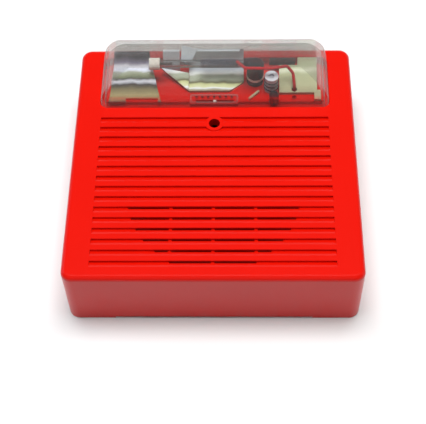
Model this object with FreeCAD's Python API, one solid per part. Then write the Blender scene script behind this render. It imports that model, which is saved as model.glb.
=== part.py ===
import FreeCAD, Part

import math
import os

# Wall horn strobe: a sounder and a flash lamp behind one square moulded cover.
# Millimetres. The origin is the centre of the back plane, which lies on the wall.
# +Z points out of the wall and +Y points up it, towards the lamp end.

V = FreeCAD.Vector
UP = V(0, 0, 1)
TINY = 0.5

# ---- overall sizes ----------------------------------------------------------
width = 133.0
height = 131.0
depth = 35.7
wall = 2.5
draft = 0.01
corner_r = 5.0
face_fillet = 2.4
running_gap = 0.4

# ---- cover: grooves, sound slots, window ------------------------------------
groove_count = 15
groove_pitch = 5.6
groove_lead = 3.65
groove_end_margin = 12.6
groove_width = 3.0
groove_depth = 1.3
slot_width = 0.8
slot_rows = 6
slot_circle_r = 39.0
sound_margin = 43.8
slot_rib = 1.5
slot_rib_spacing = 19.0
collar_wall = 1.6
collar_height = 2.7
rim_relief_length = 90.0
rim_relief_height = 1.0

# ---- cover screw ------------------------------------------------------------
lock_gap = 30.05
lock_hole_r = 2.6
lock_head_r = 2.4
lock_head_height = 2.6
lock_recess = 7.2
lock_ledge = 2.0
lock_shank_r = 1.5
lock_fit = 0.05
lock_boss_wall = 1.7
lock_post_r = 3.7
lock_post_top = 23.5
lock_shank_bottom = 14.0
retainer_r = 2.9
retainer_height = 0.6

# ---- mounting plate ---------------------------------------------------------
plate_thick = 1.6
plate_clear_x = 3.0
plate_clear_y = 4.0
plate_corner_r = 4.0
gang_spacing = 83.3
gang_pitch = 46.0
mount_hole_r = 2.1
single_slot_length = 9.0
double_slot_length = 8.0
cable_width = 40.0
cable_height = 46.0
cable_corner_r = 4.0
hook_x = 36.0
hook_width = 12.0
hook_thick = 1.2
hook_lip = 1.6
hook_margin = 3.4

# ---- chassis ----------------------------------------------------------------
chassis_back = 6.0
chassis_thick = 2.2
chassis_skirt = 2.0
board_gap = 2.0
board_thick = 1.6
fix_margin = 2.5
fix_y = -30.0
fix_head_r = 3.2
fix_head_height = 2.0
fix_shank_r = 1.6

# ---- sounder ----------------------------------------------------------------
cup_r = 24.0
cup_wall = 1.7
cup_floor = 1.6
cup_height = 6.0
cup_lift = 0.4
piezo_gap = 0.3
piezo_plate_thick = 0.3
piezo_ceramic_r = 12.5
piezo_ceramic_thick = 0.3
piezo_ledge = 1.4
horn_throat_r = 6.0
horn_mouth_r = 33.0
horn_flange_r = 36.8
horn_wall = 1.5
horn_flange_top = 29.5
horn_flange_thick = 1.8
ear_circle_r = 41.0
ear_r = 4.0
ear_top = 27.0
ear_thick = 2.0
ear_screw_r = 1.4
ear_head_r = 2.7
ear_head_height = 1.7
gasket_inner_r = 33.4
lead_r = 0.55
lead_spacing = 6.0
lead_pad_back = 2.2
lead_hole_offset = 17.0

# ---- lamp housing and lens --------------------------------------------------
lens_side_margin = 11.9
lens_low_reach = 20.3
lens_high_reach = 10.4
lens_top = 51.0
lens_wall = 1.8
lens_shoulder_r = 14.0
lens_nose_r = 13.0
lens_end_fillet = 2.5
lens_side_draft = 0.02
lens_corner_r = 3.5
lens_flange = 1.8
lens_flange_thick = 1.7
seat_gap = 0.3
plinth_top = 33.0
plinth_low_reach = 15.1
housing_wall = 1.8
housing_margin = 1.0
lens_tab_x = 34.0
lens_tab_width = 6.0
lens_tab_thick = 1.2
lens_tab_length = 3.4

# ---- lamp -------------------------------------------------------------------
lamp_margin = 16.6
tube_z = 43.5
tube_r = 2.0
tube_bore_r = 1.4
tube_left = -29.5
tube_right = 18.5
electrode_r = 0.7
electrode_length = 9.0
winding_left = -7.0
winding_right = 11.5
winding_thick = 0.25
mirror_thick = 1.2
lamp_screw_x = 50.0
lamp_screw_reach = (-15.5, 4.5)
board_screw_drop = 5.0
board_screw_rise = 18.3
left_mirror_x = (-51.5, -25.6)
trough_x = (-12.6, 6.0)
right_mirror_x = (31.2, 49.4)
boot_x = 19.6
boot_reach = 1.9
boot_r = 4.1
boot_top = 46.4
ferrule_x = 27.3
ferrule_reach = 7.0
ferrule_r = 3.3
ferrule_top = 42.5
stud_x = 28.5
stud_reach = 14.8
stud_r = 2.3
stud_top = 38.4
wire_r = 0.75

# ---- candela selector -------------------------------------------------------
selector_travel = 8.0
selector_reach = 14.7
selector_slot = 1.8
pointer_width = 1.5
bezel_x = (-12.0, 11.4)
bezel_low_reach = 16.3
bezel_high_reach = 10.9
bezel_height = 0.8
bezel_frame = 0.9
tab_width = 5.0

# ---- terminals --------------------------------------------------------------
terminal_count = 4
terminal_pitch = 6.35
terminal_side_margin = 9.5
terminal_end_margin = 6.5
terminal_length = 10.0
terminal_top = 24.0
terminal_screw_r = 1.3
terminal_head_r = 2.3
terminal_head_height = 1.8
clamp_travel = 1.5
cage_size = (3.4, 6.4, 4.4)
entry_width = 3.8
entry_height = 3.6
fit_gap = 0.05
slide_gap = 0.3

# ---- option switches --------------------------------------------------------
switch_side_margins = {"tone": 28.5, "volume": 15.5}
switch_end_margin = 10.5
switch_size = (10.0, 6.0, 5.0)
switch_travel = 2.0
knob_size = (2.2, 2.2, 3.0)

# ---- parts on the boards ----------------------------------------------------
board_edge = 1.4
board_split = 1.0
board_corner_r = 2.0
cable_cut_short = 10.0
ear_post_r = 3.0
fix_clearance = 1.5
board_screw_hole_r = 1.3
board_screw_x = (-50.0, 50.0, -50.0, 46.0)
board_screw_step = 4.0
link_count = 4
link_x = 38.0
link_pitch = 2.2
link_reach = (3.6, 3.4)
link_lift = 2.6
link_bend_r = 1.6
link_r = 0.5
chip_lift = 0.2
chip_top = 1.8
chip_row_drop = 5.3
chip_row = ((-44.0, 9.0, 3.9), (-26.0, 9.0, 3.9), (26.0, 5.0, 3.9))
side_chip = (55.0, -8.0, 3.9, 9.0)
leg_pitch = 1.27
leg_half_width = 0.2
leg_reach = 1.0
leg_height = 0.5
can_neck = (1.6, 2.4, 0.35)
can_vent_share = 0.7
can_vent_half = 0.15
can_vent_depth = 0.3
can_places = ((-56.0, 2.0, 4.0, 11.0), (-56.0, -12.0, 4.0, 11.0), (56.5, 5.0, 3.15, 11.0))
coil_place = (44.0, 4.0)
coil_r = 5.0
coil_waist = 1.2
coil_levels = (1.2, 7.8, 9.0)

# ---- lamp mirrors: each y is counted from the tube's axis --------------------
crease_at = (-4.9, 38.0)
left_lip_at = (-15.9, 34.2)
left_back_at = (6.5, 45.2)
trough_lip_at = (-9.2, 34.4)
trough_back_at = (7.1, 46.0)
right_low_at = (-10.7, 34.6)
right_high_at = (5.9, 41.0)
back_low_at = (3.6, 38.0)
back_high_at = (6.5, 45.0)
back_reflector_x = (-25.2, -17.2)
trigger_hole_x = 38.4
trigger_hole_reach = 12.5
trigger_hole_r = 1.2
stem_levels = (26.6, 28.4)
left_mids = ((-9.9, 34.6), (1.7, 39.6))
left_leg_inset = (1.0, 7.0)
leg_drop = 0.3
cheek_at = (3.5, 46.2)
cheek_thick = 1.6
cheek_inset = 3.0
left_slants = (6.4, 2.9)
left_notch_x = (-43.0, -27.4)
left_notch = (2.4, 2.0)
tube_hole_gap = 0.3
trough_mid_at = (1.7, 36.2)
trough_extra = 8.0
trough_leg_inset = (2.0, 6.0)
trough_corner = (9.0, 6.6)
wing_gap = 0.15
wing_corners = ((-9.1, 34.5), (0.1, 36.6))
wing_tip = (-26.4, 3.1, 37.0)
fin_corner = (-1.6, 41.0)
fin_tips = ((-8.2, 4.5, 46.9), (-15.8, 5.1, 48.6), (-16.4, -0.1, 44.4))
right_leg_inset = (9.0, 1.0)
right_foot = (1.4, 1.8, 4.2, 1.6)
right_relief = (9.0, 3.6)
wire_way = (3.4, 1.3)

# ---- places worked out from the sizes ---------------------------------------
tube_y = height / 2 - lamp_margin
lens_half_x = width / 2 - lens_side_margin
lens_low_y = tube_y - lens_low_reach
lens_high_y = tube_y + lens_high_reach
plinth_low_y = tube_y - plinth_low_reach
boot_y = tube_y - boot_reach
ferrule_y = tube_y - ferrule_reach
stud_y = tube_y - stud_reach
selector_y = tube_y - selector_reach
bezel_y = (tube_y - bezel_low_reach, tube_y - bezel_high_reach)
trigger_hole = (trigger_hole_x, tube_y - trigger_hole_reach, trigger_hole_r)
lock_y = tube_y - lock_gap
groove_top_y = lock_y + groove_lead
groove_length = width - 2 * groove_end_margin
sound_y = sound_margin - height / 2
lead_hole_y = sound_y + lead_hole_offset
plate_width = width - 2 * (wall + plate_clear_x)
plate_height = height - 2 * (wall + plate_clear_y)
hook_y = plate_height / 2 - hook_margin
fix_x = plate_width / 2 - fix_margin
terminal_x = terminal_side_margin - width / 2
terminal_y = (terminal_end_margin - height / 2, terminal_end_margin + terminal_length - height / 2)
terminal_mid_y = (terminal_y[0] + terminal_y[1]) / 2
switch_places = {name: (width / 2 - margin, switch_end_margin - height / 2)
                 for name, margin in switch_side_margins.items()}
crease = (tube_y + crease_at[0], crease_at[1])
left_lip = (tube_y + left_lip_at[0], left_lip_at[1])
left_back = (tube_y + left_back_at[0], left_back_at[1])

# ---- levels worked out from the sizes ---------------------------------------
panel_back = depth - wall
flange_seat = panel_back - seat_gap - lens_flange_thick
tube_back = tube_y + tube_r
piezo_plate_r = cup_r - cup_wall - piezo_gap
chassis_top = chassis_back + chassis_thick
board_back = chassis_top + board_gap
board_top = board_back + board_thick
cup_back = board_top + cup_lift
cup_top = cup_back + cup_height
chassis_half_x = width / 2 - chassis_top * draft - wall - running_gap
chassis_half_y = height / 2 - chassis_top * draft - wall - running_gap
lock_ledge_top = depth - lock_recess
lock_boss_r = lock_hole_r + lock_boss_wall
lock_boss_back = lock_ledge_top - lock_ledge
housing_half_x = lens_half_x + lens_flange + housing_margin
housing_low_y = lens_low_y - lens_flange - housing_margin
housing_high_y = height / 2 - depth * draft - wall - running_gap
plinth_half_x = lens_half_x - lens_wall - running_gap
plinth_high_y = lens_high_y - lens_wall - running_gap
entry_floor = board_top + 1.4
screw_seat = terminal_top - 2.6


# ---- shape helpers ----------------------------------------------------------
def box(x0, x1, y0, y1, z0, z1):
    """A block between two corners."""
    return Part.makeBox(x1 - x0, y1 - y0, z1 - z0, V(x0, y0, z0))


def rod(x, y, z0, z1, r):
    """A round bar standing along Z."""
    return Part.makeCylinder(r, z1 - z0, V(x, y, z0), UP)


def bar(x0, x1, y, z, r):
    """A round bar lying along X."""
    return Part.makeCylinder(r, x1 - x0, V(x0, y, z), V(1, 0, 0))


def tube(x, y, z0, z1, r_out, r_in):
    """A round tube standing along Z."""
    return rod(x, y, z0, z1, r_out).cut(rod(x, y, z0 - TINY, z1 + TINY, r_in))


def join(shapes):
    """One solid out of several that overlap or touch."""
    return shapes[0].multiFuse(shapes[1:]).removeSplitter()


def drill(shape, cutters):
    """The shape with every cutter taken away."""
    return shape.cut(cutters)


def rounded_wire(x0, x1, y0, y1, z, r):
    """A closed rectangle with round corners, flat at height z."""
    k = r * (1 - math.sqrt(0.5))
    edges = [
        Part.LineSegment(V(x0 + r, y0, z), V(x1 - r, y0, z)),
        Part.Arc(V(x1 - r, y0, z), V(x1 - k, y0 + k, z), V(x1, y0 + r, z)),
        Part.LineSegment(V(x1, y0 + r, z), V(x1, y1 - r, z)),
        Part.Arc(V(x1, y1 - r, z), V(x1 - k, y1 - k, z), V(x1 - r, y1, z)),
        Part.LineSegment(V(x1 - r, y1, z), V(x0 + r, y1, z)),
        Part.Arc(V(x0 + r, y1, z), V(x0 + k, y1 - k, z), V(x0, y1 - r, z)),
        Part.LineSegment(V(x0, y1 - r, z), V(x0, y0 + r, z)),
        Part.Arc(V(x0, y0 + r, z), V(x0 + k, y0 + k, z), V(x0 + r, y0, z)),
    ]
    return Part.Wire([e.toShape() for e in edges])


def rounded_block(x0, x1, y0, y1, z0, z1, r):
    """A block with round upright corners."""
    return Part.Face(rounded_wire(x0, x1, y0, y1, z0, r)).extrude(V(0, 0, z1 - z0))


def slot(x, y, z0, z1, r, length, along_x):
    """A slot cutter with round ends, length over its ends, centred on x, y."""
    half = length / 2
    if along_x:
        return rounded_block(x - half, x + half, y - r, y + r, z0, z1, r * 0.9999)
    return rounded_block(x - r, x + r, y - half, y + half, z0, z1, r * 0.9999)


def prism_x(points, x0, x1):
    """A straight-sided outline of (y, z) points, pulled along X."""
    loop = [V(x0, y, z) for y, z in points]
    return Part.Face(Part.makePolygon(loop + loop[:1])).extrude(V(x1 - x0, 0, 0))


def facet(corners, thick):
    """A flat plate through given corners, thickened behind the face of its first three."""
    loop = [V(*c) for c in corners]
    normal = (loop[1] - loop[0]).cross(loop[2] - loop[0]).normalize()
    loop = [p - normal * normal.dot(p - loop[0]) for p in loop]
    return Part.Face(Part.makePolygon(loop + loop[:1])).extrude(normal * -thick)


def bent_tube(points, radii, r):
    """A round lead along straight runs joined by tangent arcs."""
    pts = [V(*p) for p in points]
    edges = []
    start = pts[0]
    for i, bend in enumerate(radii, start=1):
        back = (pts[i - 1] - pts[i]).normalize()
        ahead = (pts[i + 1] - pts[i]).normalize()
        half_turn = (math.pi - back.getAngle(ahead)) / 2
        reach = bend * math.tan(half_turn)
        middle = (back + ahead).normalize()
        crown = pts[i] + middle * (bend / math.cos(half_turn) - bend)
        edges.append(Part.LineSegment(start, pts[i] + back * reach).toShape())
        start = pts[i] + ahead * reach
        edges.append(Part.Arc(edges[-1].Vertexes[-1].Point, crown, start).toShape())
    edges.append(Part.LineSegment(start, pts[-1]).toShape())
    path = Part.Wire(edges)
    ring = Part.Wire(Part.makeCircle(r, pts[0], pts[1] - pts[0]))
    solid = path.makePipeShell([ring], True, False)
    ratio = solid.Volume / (math.pi * r * r * path.Length)
    print(f"lead of {path.Length:.1f} mm, volume over section x length {ratio:.4f}")
    return solid


def save(name, shape):
    """Write one node's STEP file."""
    if not shape.isValid():
        print("not valid:", name)
    shape.exportStep(f"parts/{name}.step")


# ---- shared places ----------------------------------------------------------
def ear_places():
    """Centres of the four ears that hold the horn."""
    reach = ear_circle_r * math.sqrt(0.5)
    return [(sx * reach, sound_y + sy * reach) for sx in (-1, 1) for sy in (-1, 1)]


def groove_rows():
    """Y of each groove's upper edge, from the lamp end down."""
    return [groove_top_y - i * groove_pitch for i in range(groove_count)]


def board_screw_places():
    """Centres of the screws that hold the two circuit boards."""
    high, low = lock_y - board_screw_drop, sound_y - board_screw_rise
    main = list(zip(board_screw_x, (high, high, low, low - board_screw_step)))
    lamp = [(sx * lamp_screw_x, tube_y + y) for y in lamp_screw_reach for sx in (-1, 1)]
    return main + lamp


# ---- cover ------------------------------------------------------------------
def drafted_block(inset, z0, z1, r):
    """The body's outline between two heights, drawn together by its draft."""
    def half(size, z):
        return size / 2 - z * draft - inset

    far = width + height
    front = [V(sx * half(width, z), -far, z) for sx, z in ((-1, z0), (1, z0), (1, z1), (-1, z1))]
    side = [V(-far, sy * half(height, z), z) for sy, z in ((-1, z0), (1, z0), (1, z1), (-1, z1))]
    along_y = Part.Face(Part.makePolygon(front + front[:1])).extrude(V(0, 2 * far, 0))
    along_x = Part.Face(Part.makePolygon(side + side[:1])).extrude(V(2 * far, 0, 0))
    block = along_y.common(along_x)
    uprights = [e for e in block.Edges if e.BoundBox.ZLength > (z1 - z0) / 2]
    return block.makeFillet(r, uprights)


def groove_cutter(y):
    """A channel with an upright upper wall and a floor that rises to its lower edge."""
    profile = [
        (y, depth + TINY),
        (y, depth - groove_depth),
        (y - groove_width, depth),
        (y - groove_width, depth + TINY),
    ]
    return prism_x(profile, -groove_length / 2, groove_length / 2)


def slot_cutters(y):
    """The through slots of one row, kept inside the sound circle and between the ribs."""
    far = max(abs(y - sound_y), abs(y - slot_width - sound_y))
    if far >= slot_circle_r - slot_rib:
        return []
    half = math.sqrt(slot_circle_r**2 - far**2)
    stops = [-half, -slot_rib_spacing, 0.0, slot_rib_spacing, half]
    cutters = []
    for left, right in zip(stops, stops[1:]):
        x0 = left + (slot_rib / 2 if left > -half else 0)
        x1 = right - (slot_rib / 2 if right < half else 0)
        if x1 - x0 > slot_width:
            cutters.append(box(x0, x1, y - slot_width, y, panel_back - TINY, depth))
    return cutters


def make_cover():
    """The square moulded cover, open at the back."""
    shell = drafted_block(0, 0, depth, corner_r)
    rim = [e for e in shell.Edges if all(abs(v.Point.z - depth) < 1e-6 for v in e.Vertexes)]
    shell = shell.makeFillet(face_fillet, rim)
    collar_r = slot_circle_r + TINY
    collar = tube(0, sound_y, panel_back - collar_height, depth, collar_r + collar_wall, collar_r)
    boss = rod(0, lock_y, lock_boss_back, depth, lock_boss_r)
    hollow = drafted_block(wall, -TINY, panel_back, corner_r - wall)
    shell = shell.cut(hollow.cut(collar.fuse(boss)))
    land = rod(0, lock_y, depth - wall, depth + 2 * TINY, lock_boss_r)
    grooves = [groove_cutter(y).cut(land) for y in groove_rows()]
    slots = [s for y in groove_rows()[-slot_rows:] for s in slot_cutters(y)]
    window = rounded_block(
        -lens_half_x - running_gap, lens_half_x + running_gap,
        lens_low_y - running_gap, lens_high_y + running_gap,
        panel_back - TINY, depth + TINY, lens_corner_r + running_gap)
    relief = box(-rim_relief_length / 2, rim_relief_length / 2,
                 -height / 2 - TINY, -height / 2 + 2 * wall, -TINY, rim_relief_height)
    lock = [
        rod(0, lock_y, lock_ledge_top, depth + TINY, lock_hole_r),
        rod(0, lock_y, lock_boss_back - TINY, depth, lock_shank_r + lock_fit),
    ]
    return drill(shell, grooves + slots + lock + [window, relief])


def make_cover_screw():
    """The captive screw that holds the cover: round head with a cross slot."""
    head = rod(0, lock_y, lock_ledge_top, lock_ledge_top + lock_head_height, lock_head_r)
    shank = rod(0, lock_y, lock_shank_bottom, lock_ledge_top, lock_shank_r)
    screw = join([head, shank])
    top = lock_ledge_top + lock_head_height
    arm, half = 1.5, 0.35
    cross = [
        box(-arm, arm, lock_y - half, lock_y + half, top - 1.4, top + TINY),
        box(-half, half, lock_y - arm, lock_y + arm, top - 1.4, top + TINY),
    ]
    return drill(screw, cross)


def make_cover_screw_retainer():
    """The washer that keeps the screw in the cover when the cover comes off."""
    top = lock_boss_back - slide_gap
    return tube(0, lock_y, top - retainer_height, top, retainer_r, lock_shank_r)


# ---- mounting plate ---------------------------------------------------------
def hook_blocks(grow):
    """The plate's two hooks, each an upright and a lip, grown for the slot they pass through."""
    blocks = []
    lip_top = chassis_top + hook_thick
    for side in (-1, 1):
        x0 = side * hook_x - hook_width / 2 - grow
        x1 = side * hook_x + hook_width / 2 + grow
        upright = box(x0, x1, hook_y - grow, hook_y + hook_thick + grow, plate_thick / 2, lip_top)
        lip = box(x0, x1, hook_y - hook_lip - grow, hook_y + grow, chassis_top, lip_top)
        blocks.append((upright, lip))
    return blocks


def fix_places():
    """Centres of the two screws that hold the chassis to the plate."""
    return [(-fix_x, fix_y), (fix_x, fix_y)]


def make_mounting_plate():
    """The steel plate that is screwed to the wall box."""
    hx, hy = plate_width / 2, plate_height / 2
    plate = rounded_block(-hx, hx, -hy, hy, 0, plate_thick, plate_corner_r)
    tops = [shape for pair in hook_blocks(0) for shape in pair]
    bosses = [rod(x, y, 0, chassis_back - running_gap, fix_shank_r + 1.2) for x, y in fix_places()]
    plate = join([plate] + tops + bosses)
    z0, z1 = -TINY, plate_thick + TINY
    holes = [
        rounded_block(-cable_width / 2, cable_width / 2, -cable_height / 2, cable_height / 2,
                      z0, z1, cable_corner_r)
    ]
    for sy in (-1, 1):
        y = sy * gang_spacing / 2
        holes.append(slot(0, y, z0, z1, mount_hole_r, single_slot_length, False))
        for sx in (-1, 1):
            x = sx * gang_pitch / 2
            holes.append(slot(x, y, z0, z1, mount_hole_r, double_slot_length, True))
    holes += [rod(x, y, z0, chassis_back, fix_shank_r) for x, y in fix_places()]
    return drill(plate, holes)


# ---- chassis ----------------------------------------------------------------
def make_chassis():
    """The moulded frame that carries the boards, the horn and the lamp housing."""
    hx, hy = chassis_half_x, chassis_half_y
    body = rounded_block(-hx, hx, -hy, hy, plate_thick, chassis_top, corner_r - wall)
    inner = rounded_block(-hx + chassis_skirt, hx - chassis_skirt, -hy + chassis_skirt,
                          hy - chassis_skirt, -TINY, chassis_back, 1.5)
    body = body.cut(inner)
    posts = [rod(x, y, chassis_back, board_back, 3.2) for x, y in board_screw_places()]
    posts += [rod(x, y, chassis_back, ear_top - ear_thick, 3.0) for x, y in ear_places()]
    posts.append(rod(0, lock_y, chassis_back, lock_post_top, lock_post_r))
    ribs = []
    for sx in (-1, 1):
        for y in (-50.0, -10.0, 28.0):
            ribs.append(box(min(sx * 30, sx * 62), max(sx * 30, sx * 62), y, y + 1.4,
                            chassis_back - 2.4, chassis_back + TINY))
    body = join([body] + posts + ribs)
    z0, z1 = chassis_back - TINY, chassis_top + TINY
    holes = [rounded_block(-cable_width / 2, cable_width / 2, -cable_height / 2,
                           cable_height / 2 - 10, z0, z1, cable_corner_r)]
    holes += [rod(x, y, chassis_back - 3, chassis_top + TINY, fix_shank_r) for x, y in fix_places()]
    holes += [rod(x, y, board_back - 4.0, board_back + TINY, 1.2) for x, y in board_screw_places()]
    ear_seat = ear_top - ear_thick
    holes += [rod(x, y, ear_seat - 8.0, ear_seat + TINY, ear_screw_r) for x, y in ear_places()]
    holes.append(rod(0, lock_y, lock_shank_bottom - 2.0, lock_post_top + TINY,
                     lock_shank_r + lock_fit))
    for upright, _ in hook_blocks(running_gap):
        cutter = upright.BoundBox
        holes.append(box(cutter.XMin, cutter.XMax, hook_y - hook_lip - running_gap, cutter.YMax,
                         z0, z1))
    return drill(body, holes)


def screws_down(places, z_seat, z_end, shank_r, head_r, head_height):
    """Pan-head screws pointing at the wall, one at each place."""
    screws = []
    for x, y in places:
        head = rod(x, y, z_seat, z_seat + head_height, head_r)
        rim = [e for e in head.Edges if abs(e.BoundBox.ZMin - z_seat - head_height) < 1e-6]
        head = head.makeFillet(head_height * 0.4, rim)
        shank = rod(x, y, z_end, z_seat, shank_r)
        top = z_seat + head_height
        cross = [
            box(x - head_r * 0.55, x + head_r * 0.55, y - 0.3, y + 0.3, top - 0.9, top + TINY),
            box(x - 0.3, x + 0.3, y - head_r * 0.55, y + head_r * 0.55, top - 0.9, top + TINY),
        ]
        screws.append(drill(join([head, shank]), cross))
    return Part.makeCompound(screws)


# ---- circuit boards ---------------------------------------------------------
def make_main_board():
    """The sounder and terminal board, cut away round the posts and over the cable opening."""
    hx, hy = chassis_half_x - board_edge, chassis_half_y - board_edge
    top_y = housing_low_y - board_split
    board = rounded_block(-hx, hx, -hy, top_y, board_back, board_top, board_corner_r)
    z0, z1 = board_back - TINY, board_top + TINY
    holes = [rounded_block(-cable_width / 2, cable_width / 2, -cable_height / 2,
                           cable_height / 2 - cable_cut_short, z0, z1, cable_corner_r)]
    holes += [rod(x, y, z0, z1, ear_post_r + running_gap) for x, y in ear_places()]
    holes += [rod(x, y, z0, z1, fix_head_r + fix_clearance) for x, y in fix_places()]
    holes += [rod(x, y, z0, z1, board_screw_hole_r) for x, y in board_screw_places()[:4]]
    holes.append(rod(0, lock_y, z0, z1, lock_post_r + running_gap))
    return drill(board, holes)


def make_lamp_board():
    """The flash supply board under the lamp housing."""
    inset = housing_wall + running_gap
    board = rounded_block(-housing_half_x + inset, housing_half_x - inset,
                          housing_low_y + inset, housing_high_y - inset,
                          board_back, board_top, 1.5)
    z0, z1 = board_back - TINY, board_top + TINY
    holes = [rod(x, y, z0, z1, board_screw_hole_r) for x, y in board_screw_places()[4:]]
    return drill(board, holes)


def make_link_leads():
    """Four short leads that cross from the main board to the lamp board."""
    leads = []
    for i in range(link_count):
        x = link_x + link_pitch * i
        low = (x, housing_low_y - link_reach[0], board_top)
        high = (x, housing_low_y + housing_wall + link_reach[1], board_top)
        crest = board_top + link_lift
        leads.append(bent_tube([low, (low[0], low[1], crest), (high[0], high[1], crest), high],
                               [link_bend_r, link_bend_r], link_r))
    return Part.makeCompound(leads)


def make_chips():
    """Moulded chips and drivers on the main board, each with its rows of legs."""
    row_y = housing_low_y - chip_row_drop
    places = [(x, row_y, lx, ly) for x, lx, ly in chip_row] + [side_chip]
    chips = []
    for x, y, lx, ly in places:
        body = box(x - lx / 2, x + lx / 2, y - ly / 2, y + ly / 2, board_top + chip_lift,
                   board_top + chip_top)
        legs = []
        count = int(max(lx, ly) / leg_pitch)
        for i in range(count):
            shift = (i - (count - 1) / 2) * leg_pitch
            if lx > ly:
                legs.append(box(x + shift - leg_half_width, x + shift + leg_half_width,
                                y - ly / 2 - leg_reach, y + ly / 2 + leg_reach,
                                board_top, board_top + leg_height))
            else:
                legs.append(box(x - lx / 2 - leg_reach, x + lx / 2 + leg_reach,
                                y + shift - leg_half_width, y + shift + leg_half_width,
                                board_top, board_top + leg_height))
        chips.append(join([body] + legs))
    return Part.makeCompound(chips)


def can_capacitor(x, y, r, tall):
    """An upright electrolytic can with a rolled neck and a vented top."""
    can = rod(x, y, board_top, board_top + tall, r)
    low, high, bite = can_neck
    neck = tube(x, y, board_top + low, board_top + high, r + TINY, r - bite)
    long, half, top = r * can_vent_share, can_vent_half, board_top + tall
    vent = [box(x - long, x + long, y - half, y + half, top - can_vent_depth, top + TINY),
            box(x - half, x + half, y - long, y + long, top - can_vent_depth, top + TINY)]
    return drill(can, [neck] + vent)


def make_board_capacitors():
    """The electrolytic cans on the main board."""
    return Part.makeCompound([can_capacitor(*place) for place in can_places])


def make_sounder_coil():
    """The step-up coil that drives the piezo disc: a wound drum between two flanges."""
    (x, y), (foot, neck, top) = coil_place, coil_levels
    low = rod(x, y, board_top, board_top + foot, coil_r)
    core = rod(x, y, board_top + foot, board_top + neck, coil_r - coil_waist)
    high = rod(x, y, board_top + neck, board_top + top, coil_r)
    return join([low, core, high])


# ---- terminals --------------------------------------------------------------
def terminal_centres():
    """X of each terminal bay."""
    return [terminal_x + terminal_pitch * i for i in range(terminal_count)]


def make_terminal_block():
    """The wire block: a row of bays, each with a wire entry and a screw well."""
    x0 = terminal_centres()[0] - terminal_pitch / 2
    x1 = terminal_centres()[-1] + terminal_pitch / 2
    block = box(x0, x1, terminal_y[0], terminal_y[1], board_top, terminal_top)
    cuts = []
    cage_x, cage_y, cage_z = cage_size
    for x in terminal_centres():
        cuts.append(box(x - cage_x / 2 - slide_gap, x + cage_x / 2 + slide_gap,
                        terminal_mid_y - cage_y / 2 - slide_gap,
                        terminal_mid_y + cage_y / 2 + slide_gap,
                        entry_floor, entry_floor + cage_z + clamp_travel + slide_gap))
        cuts.append(box(x - entry_width / 2, x + entry_width / 2, terminal_mid_y,
                        terminal_y[1] + TINY, entry_floor, entry_floor + entry_height))
        cuts.append(rod(x, terminal_mid_y, entry_floor + cage_z, terminal_top + TINY,
                        terminal_screw_r + 0.3))
        cuts.append(rod(x, terminal_mid_y, screw_seat, terminal_top + TINY,
                        terminal_head_r + slide_gap))
    return drill(block, cuts)


def make_terminal_screw(x):
    """One clamp screw with a slotted head."""
    head = rod(x, terminal_mid_y, screw_seat, screw_seat + terminal_head_height, terminal_head_r)
    shank = rod(x, terminal_mid_y, entry_floor + 2.6, screw_seat, terminal_screw_r)
    top = screw_seat + terminal_head_height
    blade = box(x - terminal_head_r - TINY, x + terminal_head_r + TINY, terminal_mid_y - 0.4,
                terminal_mid_y + 0.4, top - 0.9, top + TINY)
    return drill(join([head, shank]), [blade])


def make_terminal_clamp(x):
    """One rising cage, open front to back, with the screw's thread in its roof."""
    cage_x, cage_y, cage_z = cage_size
    z0 = entry_floor + TINY / 5
    cage = box(x - cage_x / 2, x + cage_x / 2, terminal_mid_y - cage_y / 2,
               terminal_mid_y + cage_y / 2, z0, z0 + cage_z)
    way = box(x - cage_x / 2 + 0.5, x + cage_x / 2 - 0.5, terminal_mid_y - cage_y,
              terminal_mid_y + cage_y, z0 + 0.6, z0 + cage_z - 1.4)
    thread = rod(x, terminal_mid_y, z0, z0 + cage_z + TINY, terminal_screw_r + fit_gap)
    floor = box(x - cage_x / 2, x + cage_x / 2, terminal_mid_y - cage_y / 2,
                terminal_mid_y + cage_y / 2, z0, z0 + 0.6)
    return join([drill(cage, [way, thread]), floor])


# ---- option switches --------------------------------------------------------
def make_switch_body(place):
    """A slide switch's case, with a slot on top for its knob."""
    x, y = place
    sx, sy, sz = switch_size
    case = box(x - sx / 2, x + sx / 2, y - sy / 2, y + sy / 2, board_top, board_top + sz)
    kx, ky, _ = knob_size
    way = box(x - switch_travel / 2 - kx / 2 - slide_gap, x + switch_travel / 2 + kx / 2 + slide_gap,
              y - ky / 2 - slide_gap, y + ky / 2 + slide_gap,
              board_top + sz - 2.0, board_top + sz + TINY)
    return drill(case, [way])


def make_switch_knob(place):
    """The knob, at the left end of its slot."""
    x = place[0] - switch_travel / 2
    y = place[1]
    kx, ky, kz = knob_size
    z0 = board_top + switch_size[2] - 2.0 + slide_gap
    return box(x - kx / 2, x + kx / 2, y - ky / 2, y + ky / 2, z0, z0 + kz)


# ---- sounder ----------------------------------------------------------------
def make_sounder_cup():
    """The rear cup that holds the disc on a ledge."""
    cup = rod(0, sound_y, cup_back, cup_top, cup_r)
    well = rod(0, sound_y, cup_back + cup_floor + piezo_ledge, cup_top + TINY, cup_r - cup_wall)
    under = rod(0, sound_y, cup_back + cup_floor, cup_top, cup_r - cup_wall - 2.0)
    lead_way = [rod(sx * lead_spacing / 2, lead_hole_y, cup_back - TINY, cup_top, lead_r + slide_gap)
                for sx in (-1, 1)]
    return drill(cup, [well, under] + lead_way)


def make_piezo_plate():
    """The brass disc that flexes."""
    z0 = cup_back + cup_floor + piezo_ledge
    return rod(0, sound_y, z0, z0 + piezo_plate_thick, piezo_plate_r)


def make_piezo_ceramic():
    """The ceramic wafer bonded to the brass disc."""
    z0 = cup_back + cup_floor + piezo_ledge + piezo_plate_thick
    return rod(0, sound_y, z0, z0 + piezo_ceramic_thick, piezo_ceramic_r)


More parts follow.
